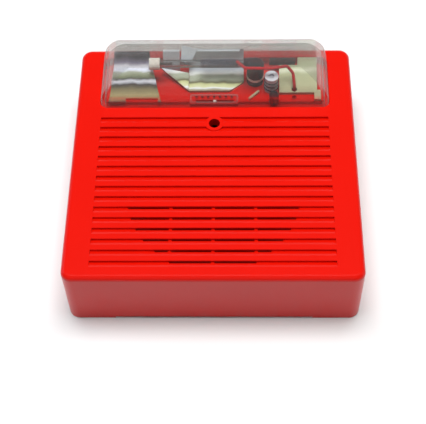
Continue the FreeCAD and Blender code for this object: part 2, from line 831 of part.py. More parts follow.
def horn_curve(radius, lift):
    """Height of the flare at a radius: steep at the throat and flat at the mouth."""
    run = (radius - horn_throat_r) / (horn_mouth_r - horn_throat_r)
    rise = horn_flange_top - lift - cup_top - horn_wall
    return cup_top + horn_wall + rise * math.sin(run * math.pi / 2) ** 1.6


def make_sounder_horn():
    """The flared horn with its mouth flange and four ears."""
    flange_under = horn_flange_top - horn_flange_thick
    knee_r = (horn_throat_r + horn_mouth_r) / 2
    inner = Part.Arc(V(horn_throat_r, 0, cup_top + horn_wall),
                     V(knee_r, 0, horn_curve(knee_r, 3.0)),
                     V(horn_mouth_r, 0, horn_flange_top))
    outer = Part.Arc(V(cup_r - 2.0, 0, cup_top + horn_wall),
                     V((cup_r + horn_mouth_r) / 2, 0, cup_top + 4.6),
                     V(horn_mouth_r + horn_wall, 0, flange_under))
    edges = [
        Part.LineSegment(V(horn_throat_r, 0, cup_top), V(cup_r, 0, cup_top)),
        Part.LineSegment(V(cup_r, 0, cup_top), V(cup_r, 0, cup_top + horn_wall)),
        Part.LineSegment(V(cup_r, 0, cup_top + horn_wall), V(cup_r - 2.0, 0, cup_top + horn_wall)),
        outer,
        Part.LineSegment(V(horn_mouth_r + horn_wall, 0, flange_under),
                         V(horn_flange_r, 0, flange_under)),
        Part.LineSegment(V(horn_flange_r, 0, flange_under), V(horn_flange_r, 0, horn_flange_top)),
        Part.LineSegment(V(horn_flange_r, 0, horn_flange_top), V(horn_mouth_r, 0, horn_flange_top)),
        inner,
        Part.LineSegment(V(horn_throat_r, 0, cup_top + horn_wall), V(horn_throat_r, 0, cup_top)),
    ]
    outline = Part.Wire(Part.__sortEdges__([e.toShape() for e in edges]))
    horn = Part.Face(outline).revolve(V(0, 0, 0), UP, 360)
    horn.translate(V(0, sound_y, 0))
    mouth = rod(0, sound_y, cup_back, depth, horn_mouth_r + horn_wall / 2)
    ears = []
    for x, y in ear_places():
        disc = rod(x, y, ear_top - ear_thick, ear_top, ear_r)
        along = math.degrees(math.atan2(y - sound_y, x))
        arm = box(horn_mouth_r, ear_circle_r, -ear_r, ear_r, ear_top - ear_thick, ear_top)
        arm.rotate(V(0, 0, 0), UP, along)
        arm.translate(V(0, sound_y, 0))
        riser = box(horn_mouth_r, horn_flange_r - 0.4, -ear_r, ear_r, ear_top - ear_thick,
                    flange_under + TINY)
        riser.rotate(V(0, 0, 0), UP, along)
        riser.translate(V(0, sound_y, 0))
        ears.append(join([disc, arm, riser]).cut(mouth))
    horn = join([horn] + ears)
    holes = [rod(x, y, ear_top - ear_thick - TINY, ear_top + TINY, ear_screw_r + 0.1)
             for x, y in ear_places()]
    holes.append(rod(0, lock_y, flange_under - TINY, depth, lock_boss_r + slide_gap))
    return drill(horn, holes)


def make_sounder_gasket():
    """The foam ring between the horn's mouth and the cover."""
    ring = tube(0, sound_y, horn_flange_top, panel_back - slide_gap, slot_circle_r,
                gasket_inner_r)
    return drill(ring, [rod(0, lock_y, horn_flange_top - TINY, depth, lock_boss_r + slide_gap)])


def make_sounder_leads():
    """The two leads from the board, under the cup and up to the disc."""
    leads = []
    pad_y = lock_y - lock_post_r - lead_pad_back
    drop_y = sound_y + cup_r + 2.8
    disc_z = cup_back + cup_floor + piezo_ledge
    for side in (-1, 1):
        x = side * lead_spacing / 2
        route = [
            (x, pad_y, board_top),
            (x, pad_y, board_top + 2.2),
            (x, drop_y, board_top + 2.2),
            (x, drop_y, cup_back - lead_r - slide_gap),
            (x, lead_hole_y, cup_back - lead_r - slide_gap),
            (x, lead_hole_y, disc_z),
        ]
        leads.append(bent_tube(route, [1.2, 1.2, 1.2, 1.2], lead_r))
    return Part.makeCompound(leads)


# ---- lamp housing -----------------------------------------------------------
def lens_tab_boxes(grow):
    """The lens's four snap tabs, grown for the slots that take them."""
    boxes = []
    z1 = flange_seat + TINY if grow else flange_seat + lens_flange_thick / 2
    for sx in (-1, 1):
        x0 = sx * lens_tab_x - lens_tab_width / 2
        for y0 in (lens_low_y - lens_flange + 0.4, lens_high_y - lens_tab_thick):
            boxes.append(box(x0 - grow, x0 + lens_tab_width + grow, y0 - grow,
                             y0 + lens_tab_thick + grow, flange_seat - lens_tab_length - grow, z1))
    return boxes


def make_lamp_housing():
    """The box behind the lens: it seats the lens, and its raised floor carries the lamp."""
    hx = housing_half_x
    outer = rounded_block(-hx, hx, housing_low_y, housing_high_y, chassis_top, flange_seat, 2.0)
    w = housing_wall
    cavity = rounded_block(-hx + w, hx - w, housing_low_y + w, housing_high_y - w,
                           chassis_top - TINY, flange_seat - w, 1.0)
    plinth = rounded_block(-plinth_half_x, plinth_half_x, plinth_low_y, plinth_high_y,
                           flange_seat - w / 2, plinth_top, 1.6)
    rise = rounded_block(-plinth_half_x + w, plinth_half_x - w, plinth_low_y + w,
                         plinth_high_y - w, flange_seat - 2 * w, plinth_top - w, 1.0)
    selector_shelf = box(bezel_x[0], bezel_x[1], bezel_y[0], plinth_low_y + 1,
                         flange_seat - w / 2, plinth_top)
    body = join([outer.cut(cavity), plinth, selector_shelf]).cut(rise)
    reach = selector_travel + pointer_width / 2 + slide_gap
    stem = selector_travel + tab_width / 2 + slide_gap
    cuts = [
        box(-reach, reach, selector_y - selector_slot / 2, selector_y + selector_slot / 2,
            flange_seat - 2 * w, plinth_top + TINY),
        box(-stem, stem, housing_low_y - TINY, housing_low_y + w + TINY,
            stem_levels[0] - slide_gap, stem_levels[1] + slide_gap),
        box(36.0, 47.0, housing_low_y - TINY, housing_low_y + w + TINY,
            chassis_top - TINY, board_top + 4.4),
    ]
    cuts += lens_tab_boxes(0.15)
    for x, y, r in floor_ways():
        cuts.append(rod(x, y, flange_seat - 2 * w, plinth_top + TINY, r))
    for x, y in board_screw_places()[4:]:
        cuts.append(rod(x, y, board_back - 3, board_top + 5, 3.6))
    return drill(body, cuts)


def floor_ways():
    """Round holes in the raised floor for the lamp's leads: x, y, radius."""
    return [(tube_left - 1.0, tube_y - 3.5, 1.5), (boot_x, boot_y, 2.0),
            (ferrule_x, ferrule_y, 1.6), trigger_hole]


def lens_profile_x(inset, z0):
    """The lens's front view: drafted sides and round shoulders."""
    top = lens_top - inset
    r = lens_shoulder_r - inset
    knee = top - r
    foot = lens_half_x - inset
    side = foot - (knee - z0) * lens_side_draft
    lean = side - r
    k = r * math.sqrt(0.5)
    edges = [
        Part.LineSegment(V(-foot, 0, z0), V(foot, 0, z0)),
        Part.LineSegment(V(foot, 0, z0), V(side, 0, knee)),
        Part.Arc(V(side, 0, knee), V(lean + k, 0, knee + k), V(lean, 0, top)),
        Part.LineSegment(V(lean, 0, top), V(-lean, 0, top)),
        Part.Arc(V(-lean, 0, top), V(-lean - k, 0, knee + k), V(-side, 0, knee)),
        Part.LineSegment(V(-side, 0, knee), V(-foot, 0, z0)),
    ]
    return Part.Face(Part.Wire([e.toShape() for e in edges]))


def lens_profile_y(inset, z0):
    """The lens's side view: a round nose towards the grooves and a near-upright far end."""
    top = lens_top - inset
    nose_r = lens_nose_r - inset
    end_r = max(lens_end_fillet - inset, 0.4)
    low = lens_low_y + inset
    high = lens_high_y - inset
    knee = top - nose_r
    low_knee = low + (knee - z0) * lens_side_draft
    high_knee = high - (top - z0) * lens_side_draft
    kn = nose_r * math.sqrt(0.5)
    ke = end_r * math.sqrt(0.5)
    edges = [
        Part.LineSegment(V(0, high, z0), V(0, low, z0)),
        Part.LineSegment(V(0, low, z0), V(0, low_knee, knee)),
        Part.Arc(V(0, low_knee, knee), V(0, low_knee + nose_r - kn, knee + kn),
                 V(0, low_knee + nose_r, top)),
        Part.LineSegment(V(0, low_knee + nose_r, top), V(0, high_knee - end_r, top)),
        Part.Arc(V(0, high_knee - end_r, top),
                 V(0, high_knee - end_r + ke, top - end_r + ke), V(0, high_knee, top - end_r)),
        Part.LineSegment(V(0, high_knee, top - end_r), V(0, high, z0)),
    ]
    return Part.Face(Part.Wire([e.toShape() for e in edges]))


def lens_body(inset, z0):
    """The lens's solid form, inset evenly from its outside."""
    reach = height
    along_y = lens_profile_x(inset, z0)
    along_y.translate(V(0, -reach, 0))
    along_y = along_y.extrude(V(0, 2 * reach, 0))
    along_x = lens_profile_y(inset, z0)
    along_x.translate(V(-width, 0, 0))
    along_x = along_x.extrude(V(2 * width, 0, 0))
    plan = rounded_block(-lens_half_x + inset, lens_half_x - inset, lens_low_y + inset,
                         lens_high_y - inset, z0, lens_top + 1, max(lens_corner_r - inset, 0.6))
    return along_y.common(along_x).common(plan)


def make_lens():
    """The clear lens: a thin hollow hood with a flange that the cover traps."""
    flange_high = min(lens_high_y + lens_flange, housing_high_y)
    flange = rounded_block(-lens_half_x - lens_flange, lens_half_x + lens_flange,
                           lens_low_y - lens_flange, flange_high, flange_seat,
                           flange_seat + lens_flange_thick, lens_corner_r + lens_flange / 2)
    hood = lens_body(0, flange_seat)
    inside = lens_body(lens_wall, flange_seat - TINY)
    return join([hood, flange] + lens_tab_boxes(0)).cut(inside)


# ---- lamp -------------------------------------------------------------------
def curved_strip(points, x0, x1):
    """A mirror strip along X through (y, z) points: each pair of runs is one hollow arc."""
    edges = []
    lower = []
    for (ya, za), (ym, zm), (yb, zb) in points:
        edges.append(Part.Arc(V(x0, ya, za), V(x0, ym, zm), V(x0, yb, zb)).toShape())
        lower.append(Part.Arc(V(x0, ya, za - mirror_thick), V(x0, ym, zm - mirror_thick),
                              V(x0, yb, zb - mirror_thick)).toShape())
    first, last = points[0][0], points[-1][2]
    ends = [
        Part.LineSegment(V(x0, last[0], last[1]), V(x0, last[0], last[1] - mirror_thick)),
        Part.LineSegment(V(x0, first[0], first[1] - mirror_thick), V(x0, first[0], first[1])),
    ]
    loop = Part.__sortEdges__(edges + lower + [e.toShape() for e in ends])
    return Part.Face(Part.Wire(loop)).extrude(V(x1 - x0, 0, 0))


def make_left_mirror():
    """Two hollow facets side by side, on a rear leg, with a cheek where the tube enters."""
    x0, x1 = left_mirror_x
    strip = curved_strip(
        [(left_lip, (tube_y + left_mids[0][0], left_mids[0][1]), crease),
         (crease, (tube_y + left_mids[1][0], left_mids[1][1]), left_back)], x0, x1)
    leg = box(x0 + left_leg_inset[0], x1 - left_leg_inset[1], left_back[0] - mirror_thick,
              left_back[0], plinth_top, left_back[1] - leg_drop)
    front = box(x0, x1, left_lip[0], left_lip[0] + mirror_thick, plinth_top, left_lip[1])
    cheek_low, cheek_back = left_lip[0] + cheek_inset, tube_y + cheek_at[0]
    cheek = prism_x([(cheek_low, plinth_top), (cheek_low, left_lip[1]), crease,
                     (cheek_back, cheek_at[1]), (cheek_back, plinth_top)], x1 - cheek_thick, x1)
    body = join([strip, leg, front, cheek])
    slant = prism_wedge(x1, x1 - left_slants[0], left_lip[0], left_back[0])
    left_slant = prism_wedge(x0, x0 + left_slants[1], left_lip[0], left_back[0])
    notch = box(*left_notch_x, left_lip[0] - TINY, left_lip[0] + left_notch[0],
                plinth_top - TINY, left_lip[1] + left_notch[1])
    hole = bar(x1 - 6.0, x1 + TINY, tube_y, tube_z, tube_r + tube_hole_gap)
    return drill(body, [slant, left_slant, notch, hole, below_floor()])


def below_floor():
    """A cutter for everything under the raised floor."""
    return box(-width / 2, width / 2, 0, height / 2, 0, plinth_top)


def prism_wedge(x_low, x_high, y_low, y_high):
    """A cutter for whatever lies outside a slanted side in plan."""
    out = x_low + (20 if x_low > (left_mirror_x[0] + left_mirror_x[1]) / 2 else -20)
    loop = [V(x_low, y_low - 1, 0), V(x_high, y_high + 1, 0), V(out, y_high + 1, 0),
            V(out, y_low - 1, 0), V(x_low, y_low - 1, 0)]
    cutter = Part.Face(Part.makePolygon(loop)).extrude(V(0, 0, depth * 2))
    return cutter.cut(box(-width, width, y_low, y_high, 0, plinth_top))


def make_trough_mirror():
    """The hollow mirror behind the tube, with a flared cheek and wing at each end."""
    x0, x1 = trough_x
    lip = (tube_y + trough_lip_at[0], trough_lip_at[1])
    back = (tube_y + trough_back_at[0], trough_back_at[1])
    middle = (tube_y + trough_mid_at[0], trough_mid_at[1])
    strip = curved_strip([(lip, middle, back)], x0, x1 + trough_extra)
    leg = box(x0 + trough_leg_inset[0], x1 + trough_leg_inset[1], back[0] - mirror_thick,
              back[0], plinth_top, back[1] - leg_drop)
    toe = box(x0, x1, lip[0], lip[0] + mirror_thick, plinth_top, lip[1])
    body = join([strip, leg, toe])
    out_x, low_y, high_y = x1 + trough_corner[0], lip[0] - 1, lip[0] + trough_corner[1]
    corner = Part.Face(Part.makePolygon([
        V(x1, low_y, 0), V(out_x, low_y, 0), V(out_x, high_y, 0),
        V(x1, low_y, 0)])).extrude(V(0, 0, depth * 2))
    return drill(body, [corner, below_floor()])


def make_trough_wings():
    """The flat facets that close the trough's ends and throw light sideways."""
    x0 = trough_x[0] - wing_gap
    wing = facet([(x0, tube_y + y, z) for y, z in wing_corners]
                 + [(wing_tip[0], tube_y + wing_tip[1], wing_tip[2])], mirror_thick)
    fin = facet([(x0, tube_back + fin_corner[0], fin_corner[1])]
                + [(x, tube_back + y, z) for x, y, z in fin_tips], mirror_thick / 2)
    clear = bar(trough_x[0] - 20, trough_x[1], tube_y, tube_z, tube_r + slide_gap)
    return drill(wing, [clear, below_floor()]), drill(fin, [clear, make_trough_mirror()])


def make_back_reflector():
    """The narrow reflector behind the tube, between the left mirror and the fin, on its foot."""
    low_y, low_z = tube_y + back_low_at[0], back_low_at[1]
    high_y, high_z = tube_y + back_high_at[0], back_high_at[1]
    t = mirror_thick
    return prism_x([(low_y, plinth_top), (low_y, low_z), (high_y, high_z), (high_y + t, high_z),
                    (high_y + t, high_z - t), (low_y + t, low_z - t), (low_y + t, plinth_top)],
                   *back_reflector_x)


def make_right_mirror():
    """The flat tilted facet at the right, with its front foot."""
    x0, x1 = right_mirror_x
    low = (tube_y + right_low_at[0], right_low_at[1])
    high = (tube_y + right_high_at[0], right_high_at[1])
    strip = prism_x([low, high, (high[0], high[1] - mirror_thick), (low[0], low[1] - mirror_thick)],
                    x0, x1)
    leg = box(x0 + right_leg_inset[0], x1 - right_leg_inset[1], high[0] - mirror_thick, high[0],
              plinth_top, high[1] - leg_drop)
    inner, outer, ahead, tall = right_foot
    foot = box(x1 - inner, x1 + outer, low[0] - ahead, low[0] + tall, plinth_top,
               plinth_top + tall)
    heel = box(x0 + 1, x1, low[0], low[0] + mirror_thick, plinth_top, low[1])
    body = join([strip, leg, heel, foot])
    relief = box(x0 - TINY, x0 + right_relief[0], high[0] - right_relief[1], high[0] + TINY,
                 plinth_top, depth * 2)
    way = rod(trigger_hole[0], trigger_hole[1] + wire_way[0], plinth_top - TINY, depth * 2,
              wire_way[1])
    return drill(body, [relief, way])


def make_flash_tube():
    """The glass tube, hollow, closed at both ends round its electrodes."""
    outer = bar(tube_left, tube_right, tube_y, tube_z, tube_r)
    bore = bar(tube_left + 1.5, tube_right - 1.5, tube_y, tube_z, tube_bore_r)
    leads = bar(tube_left - TINY, tube_right + TINY, tube_y, tube_z, electrode_r)
    return drill(outer, [bore, leads])


def make_tube_electrodes():
    """The two metal rods sealed into the tube's ends."""
    left = bar(tube_left - 1.2, tube_left + electrode_length, tube_y, tube_z, electrode_r)
    right = bar(tube_right - electrode_length, tube_right + 0.8, tube_y, tube_z, electrode_r)
    return Part.makeCompound([left, right])


def make_trigger_winding():
    """The fine trigger wire wound on the middle of the tube, as one thin sleeve."""
    outer = bar(winding_left, winding_right, tube_y, tube_z, tube_r + winding_thick)
    return outer.cut(bar(winding_left - 1, winding_right + 1, tube_y, tube_z, tube_r))


def make_tube_boot():
    """The black rubber boot that holds the tube's right end and its lead."""
    post = rod(boot_x, boot_y, plinth_top, boot_top, boot_r)
    crown = [e for e in post.Edges if abs(e.BoundBox.ZMin - boot_top) < 1e-6]
    post = post.makeFillet(1.6, crown)
    collar = bar(boot_x - boot_r - 1.6, boot_x, tube_y, tube_z, tube_r + 0.8)
    waist = tube(boot_x, boot_y, plinth_top + 3.4, plinth_top + 4.8, boot_r + TINY, boot_r - 0.4)
    bore = bar(boot_x - boot_r - 2.2, tube_right, tube_y, tube_z, tube_r)
    pin = bar(tube_right - TINY, tube_right + 0.8, tube_y, tube_z, electrode_r)
    return drill(join([post, collar]), [waist, bore, pin])


def make_boot_band():
    """The white band in the boot's waist."""
    return tube(boot_x, boot_y, plinth_top + 3.4, plinth_top + 4.8, boot_r + 0.15, boot_r - 0.4)


def make_left_sleeve():
    """The small white sleeve on the tube's left end."""
    sleeve = bar(tube_left - 2.0, tube_left + 3.0, tube_y, tube_z, tube_r + 0.9)
    return drill(sleeve, [bar(tube_left, tube_left + 4, tube_y, tube_z, tube_r),
                          bar(tube_left - 1.2, tube_left + 1, tube_y, tube_z, electrode_r)])


def make_lamp_ferrule():
    """The bright ribbed ferrule beside the boot."""
    body = rod(ferrule_x, ferrule_y, plinth_top, ferrule_top, ferrule_r)
    grooves = []
    for z in (plinth_top + 2.4, plinth_top + 5.6):
        grooves.append(tube(ferrule_x, ferrule_y, z, z + 1.5, ferrule_r + TINY, ferrule_r - 0.7))
    grooves.append(rod(ferrule_x, ferrule_y, ferrule_top - 1.2, ferrule_top + TINY, 1.4))
    return drill(body, grooves)


def make_mirror_stud():
    """The black push-in stud that pins the mirrors to the floor."""
    stem = rod(stud_x, stud_y, plinth_top, stud_top, stud_r)
    rim = [e for e in stem.Edges if abs(e.BoundBox.ZMin - stud_top) < 1e-6]
    return stem.makeFillet(0.5, rim)


def make_trigger_coil():
    """The taped trigger coil behind the right mirror."""
    return bar(26.4, 39.4, tube_y + 5.7, plinth_top + 5.2, 1.9)


def make_trigger_wire():
    """The red lead from the winding, over the boot and down to the floor."""
    start_y = tube_y - 1.2
    start_z = tube_z + tube_r + winding_thick + wire_r - 0.15
    x_end, y_end, _ = trigger_hole
    points = [
        (winding_right - 0.8, start_y, start_z),
        (winding_right + 3.0, tube_y - 5.9, 47.0),
        (27.5, tube_y - 6.5, 47.4),
        (34.6, tube_y - 4.1, 46.4),
        (37.6, tube_y - 5.1, 42.4),
        (x_end, y_end + 3.4, 37.6),
        (x_end, y_end + 3.4, plinth_top),
    ]
    return bent_tube(points, [2.6, 6.0, 2.2, 2.6, 3.2], wire_r)


def make_wing_strut():
    """The thin strut that steadies the trough's lower right corner."""
    a, b = V(16.2, tube_y - 13.7, plinth_top), V(21.0, tube_y - 8.9, plinth_top)
    side = V(0.7, -0.7, 0)
    loop = [a, b, b + side, a + side, a]
    return Part.Face(Part.makePolygon(loop)).extrude(V(0, 0, 1.4))


# ---- candela selector -------------------------------------------------------
def make_selector_bezel():
    """The raised frame round the selector's scale."""
    outer = rounded_block(*bezel_x, *bezel_y, plinth_top, plinth_top + bezel_height, 1.4)
    f = bezel_frame
    inner = rounded_block(bezel_x[0] + f, bezel_x[1] - f, bezel_y[0] + f, bezel_y[1] - f,
                          plinth_top - TINY, plinth_top + bezel_height + TINY, 0.8)
    return outer.cut(inner)


def make_selector_slider():
    """The selector's carriage, its stem through the housing wall and its thumb tab."""
    w = housing_wall
    carriage = box(-4.0, 4.0, plinth_low_y + w + slide_gap, plinth_low_y + w + 4.0,
                   stem_levels[0], plinth_top - w - slide_gap)
    bridge = box(-pointer_width / 2, pointer_width / 2, selector_y - selector_slot / 2 + slide_gap,
                 plinth_low_y + w + 1.0, flange_seat - w - slide_gap - 1.4,
                 flange_seat - w - slide_gap)
    stem = box(-1.6, 1.6, housing_low_y - slide_gap, plinth_low_y + w + 1.0, *stem_levels)
    tab_y = housing_low_y - slide_gap
    tab = box(-tab_width / 2, tab_width / 2, tab_y - 1.7, tab_y, stem_levels[0] - 4.2,
              stem_levels[1])
    return join([carriage, bridge, stem, tab])


def make_selector_pointer():
    """The white pointer that shows in the scale's slot."""
    half = pointer_width / 2
    y0 = selector_y - selector_slot / 2 + slide_gap
    y1 = selector_y + selector_slot / 2 - slide_gap
    return box(-half, half, y0, y1, flange_seat - housing_wall - slide_gap, plinth_top + 0.3)


# ---- flash supply under the housing -----------------------------------------
def make_flash_capacitor():
    """The photoflash capacitor, lying on the lamp board."""
    r, y = 6.5, tube_y - 4.5
    z = board_top + r + 0.3
    can = bar(-48.0, -22.0, y, z, r)
    neck = bar(-25.6, -24.4, y, z, r + TINY).cut(bar(-26, -24, y, z, r - 0.5))
    return drill(can, [neck])


def make_trigger_transformer():
    """The small potted transformer that fires the tube."""
    return rounded_block(-12.0, -2.0, tube_y - 8.5, tube_y + 1.5, board_top, board_top + 11.0, 1.0)


def make_lamp_inductor():
    """The supply's drum inductor."""
    x, y, r = 12.0, tube_y - 2.5, 5.5
    return join([rod(x, y, board_top, board_top + 1.4, r),
                 rod(x, y, board_top + 1.4, board_top + 9.0, r - 1.3),
                 rod(x, y, board_top + 9.0, board_top + 10.4, r)])


def make_lamp_diodes():
    """Axial diodes in a row beside the inductor."""
    return Part.makeCompound([bar(24.0, 30.0, tube_y - 12.5 + 5.0 * i, board_top + 1.6, 1.4)
                              for i in range(4)])


def build():
    """Make every piece and write its file."""
    os.makedirs("parts", exist_ok=True)
    save("cover", make_cover())
    save("cover_screw", make_cover_screw())
    save("cover_screw_retainer", make_cover_screw_retainer())
    save("mounting_plate", make_mounting_plate())
    save("chassis", make_chassis())
    save("chassis_screws", screws_down(fix_places(), chassis_top, plate_thick, fix_shank_r,
                                       fix_head_r, fix_head_height))
    save("main_board", make_main_board())
    save("lamp_board", make_lamp_board())
    save("board_screws", screws_down(board_screw_places(), board_top, board_back - 3.6, 1.2,
                                     2.2, 1.5))
    save("link_leads", make_link_leads())
    save("chips", make_chips())
    save("board_capacitors", make_board_capacitors())
    save("sounder_coil", make_sounder_coil())
    save("terminal_block", make_terminal_block())
    for number, x in enumerate(terminal_centres(), start=1):
        save(f"terminal_screw_{number}", make_terminal_screw(x))
        save(f"terminal_clamp_{number}", make_terminal_clamp(x))
    for name, place in switch_places.items():
        save(f"{name}_switch_case", make_switch_body(place))
        save(f"{name}_switch_knob", make_switch_knob(place))
    save("sounder_cup", make_sounder_cup())
    save("piezo_plate", make_piezo_plate())
    save("piezo_ceramic", make_piezo_ceramic())
    save("sounder_horn", make_sounder_horn())
    save("sounder_gasket", make_sounder_gasket())
    save("horn_screws", screws_down(ear_places(), ear_top, ear_top - 9.0, ear_screw_r,
                                    ear_head_r, ear_head_height))
    save("sounder_leads", make_sounder_leads())
    save("lamp_housing", make_lamp_housing())
    save("lens", make_lens())
    save("left_mirror", make_left_mirror())
    save("trough_mirror", make_trough_mirror())
    wing, fin = make_trough_wings()
    save("trough_wing", wing)
    save("trough_fin", fin)
    save("back_reflector", make_back_reflector())
    save("right_mirror", make_right_mirror())
    save("flash_tube", make_flash_tube())
    save("tube_electrodes", make_tube_electrodes())
    save("trigger_winding", make_trigger_winding())
    save("tube_boot", make_tube_boot())
    save("boot_band", make_boot_band())
    save("left_sleeve", make_left_sleeve())
    save("lamp_ferrule", make_lamp_ferrule())
    save("mirror_stud", make_mirror_stud())
    save("trigger_coil", make_trigger_coil())
    save("trigger_wire", make_trigger_wire())
    save("wing_strut", make_wing_strut())
    save("selector_bezel", make_selector_bezel())
    save("selector_slider", make_selector_slider())
    save("selector_pointer", make_selector_pointer())
    save("flash_capacitor", make_flash_capacitor())
    save("trigger_transformer", make_trigger_transformer())
    save("lamp_inductor", make_lamp_inductor())
    save("lamp_diodes", make_lamp_diodes())


build()
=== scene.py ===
"""Looks of the wall horn strobe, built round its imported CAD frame."""

import logging
import math
from dataclasses import dataclass, field
from enum import Enum
from typing import Any

import bpy
from mathutils import Matrix, Vector


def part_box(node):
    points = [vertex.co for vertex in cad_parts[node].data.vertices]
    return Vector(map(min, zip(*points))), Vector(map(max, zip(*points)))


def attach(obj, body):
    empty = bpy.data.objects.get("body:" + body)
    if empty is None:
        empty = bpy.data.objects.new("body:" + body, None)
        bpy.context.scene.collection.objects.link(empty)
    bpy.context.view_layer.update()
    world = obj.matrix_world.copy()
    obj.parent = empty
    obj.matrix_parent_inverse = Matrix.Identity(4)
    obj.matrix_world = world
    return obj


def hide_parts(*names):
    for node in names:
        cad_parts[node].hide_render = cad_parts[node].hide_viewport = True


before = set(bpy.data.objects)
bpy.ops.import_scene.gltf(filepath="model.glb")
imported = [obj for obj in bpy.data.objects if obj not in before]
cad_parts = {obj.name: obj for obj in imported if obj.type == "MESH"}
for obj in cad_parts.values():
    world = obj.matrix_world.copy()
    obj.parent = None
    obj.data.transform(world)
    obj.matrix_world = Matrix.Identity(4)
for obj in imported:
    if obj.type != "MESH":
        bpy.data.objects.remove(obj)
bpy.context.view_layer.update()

LOG = logging.getLogger("horn_strobe")
MM = 0.001


# ---- small helpers ----------------------------------------------------------
def linear(code: str) -> tuple[float, float, float, float]:
    """Turns an sRGB hex colour to linear light.

    Args:
        code: six hex digits.

    Returns:
        Red, green, blue and an alpha of 1.
    """
    parts = [int(code[i:i + 2], 16) / 255 for i in (0, 2, 4)]
    low, slope, offset, power = 0.04045, 12.92, 0.055, 2.4
    lit = [p / slope if p <= low else ((p + offset) / (1 + offset)) ** power for p in parts]
    return (lit[0], lit[1], lit[2], 1.0)


def add_node(tree: bpy.types.NodeTree, kind: str, inputs: dict[str | int, Any] | None = None,
             **settings: Any) -> bpy.types.Node:
    """Adds one node, sets it and links it.

    Args:
        tree: the tree that gets the node.
        kind: the node's type name.
        inputs: a value or a source socket for each input's name or number.
        settings: attributes of the node itself.

    Returns:
        The new node.
    """
    node = tree.nodes.new(kind)
    for name, value in settings.items():
        setattr(node, name, value)
    for name, value in (inputs or {}).items():
        if isinstance(value, bpy.types.NodeSocket):
            tree.links.new(value, node.inputs[name])
        else:
            node.inputs[name].default_value = value
    return node


def set_ramp(node: bpy.types.Node, stops: tuple[tuple[float, str], ...]) -> None:
    """Gives a colour ramp its stops.

    Args:
        node: the ramp.
        stops: places from 0 to 1, each with its hex colour.
    """
    ramp = node.color_ramp
    while len(ramp.elements) > 1:
        ramp.elements.remove(ramp.elements[-1])
    ramp.elements[0].position = stops[0][0]
    ramp.elements[0].color = linear(stops[0][1])
    for place, code in stops[1:]:
        ramp.elements.new(place).color = linear(code)


# ---- finishes ---------------------------------------------------------------
@dataclass(frozen=True)
class Finish:
    """A surface finish: its name and how rough it is."""

    name: str
    roughness: float

    def make(self) -> bpy.types.Material:
        """Builds the material.

        Returns:
            The material, with its nodes.
        """
        material = bpy.data.materials.new(self.name)
        material.use_nodes = True
        tree = material.node_tree
        tree.nodes.clear()
        out = add_node(tree, "ShaderNodeOutputMaterial")
        shader = add_node(tree, "ShaderNodeBsdfPrincipled", {"Roughness": self.roughness})
        place = add_node(tree, "ShaderNodeTexCoord").outputs["Object"]
        surface = self.dress(tree, shader, place)
        tree.links.new(surface, out.inputs["Surface"])
        return material

    def dress(self, tree: bpy.types.NodeTree, shader: bpy.types.Node,
              place: bpy.types.NodeSocket) -> bpy.types.NodeSocket:
        """Adds what sets this finish apart. Each kind of finish has its own.

        Args:
            tree: the material's tree.
            shader: its Principled shader.
            place: the piece's own coordinates.

        Returns:
            The socket that goes to the surface.
        """
        raise NotImplementedError

    def relief(self, tree: bpy.types.NodeTree, shader: bpy.types.Node,
               height: bpy.types.NodeSocket, depth_mm: float) -> None:
        """Turns a height pattern into a bump that deep.

        Args:
            tree: the material's tree.
            shader: the shader that gets the bump.
            height: the pattern, from 0 to 1.
            depth_mm: how far 1 stands above 0.
        """
        bump = add_node(tree, "ShaderNodeBump",
                        {"Height": height, "Distance": depth_mm * MM, "Strength": 1.0})
        tree.links.new(bump.outputs["Normal"], shader.inputs["Normal"])


@dataclass(frozen=True)
class Tinted(Finish):
    """A finish whose colour drifts between two close hues."""

    colour: str
    second: str
    patch_mm: float = 18.0

    def tint(self, tree: bpy.types.NodeTree, shader: bpy.types.Node,
             place: bpy.types.NodeSocket) -> bpy.types.NodeSocket:
        """Drifts the shader's colour between the two hues over patches of the given size.

        Args:
            tree: the material's tree.
            shader: the shader that gets the colour.
            place: the piece's own coordinates.

        Returns:
            The drifting colour.
        """
        patch = add_node(tree, "ShaderNodeTexNoise",
                         {"Vector": place, "Scale": 1 / (self.patch_mm * MM), "Detail": 3.0})
        mix = add_node(tree, "ShaderNodeMix", {"Factor": patch.outputs["Fac"],
                       "A": linear(self.colour), "B": linear(self.second)}, data_type="RGBA")
        tree.links.new(mix.outputs["Result"], shader.inputs["Base Color"])
        return mix.outputs["Result"]


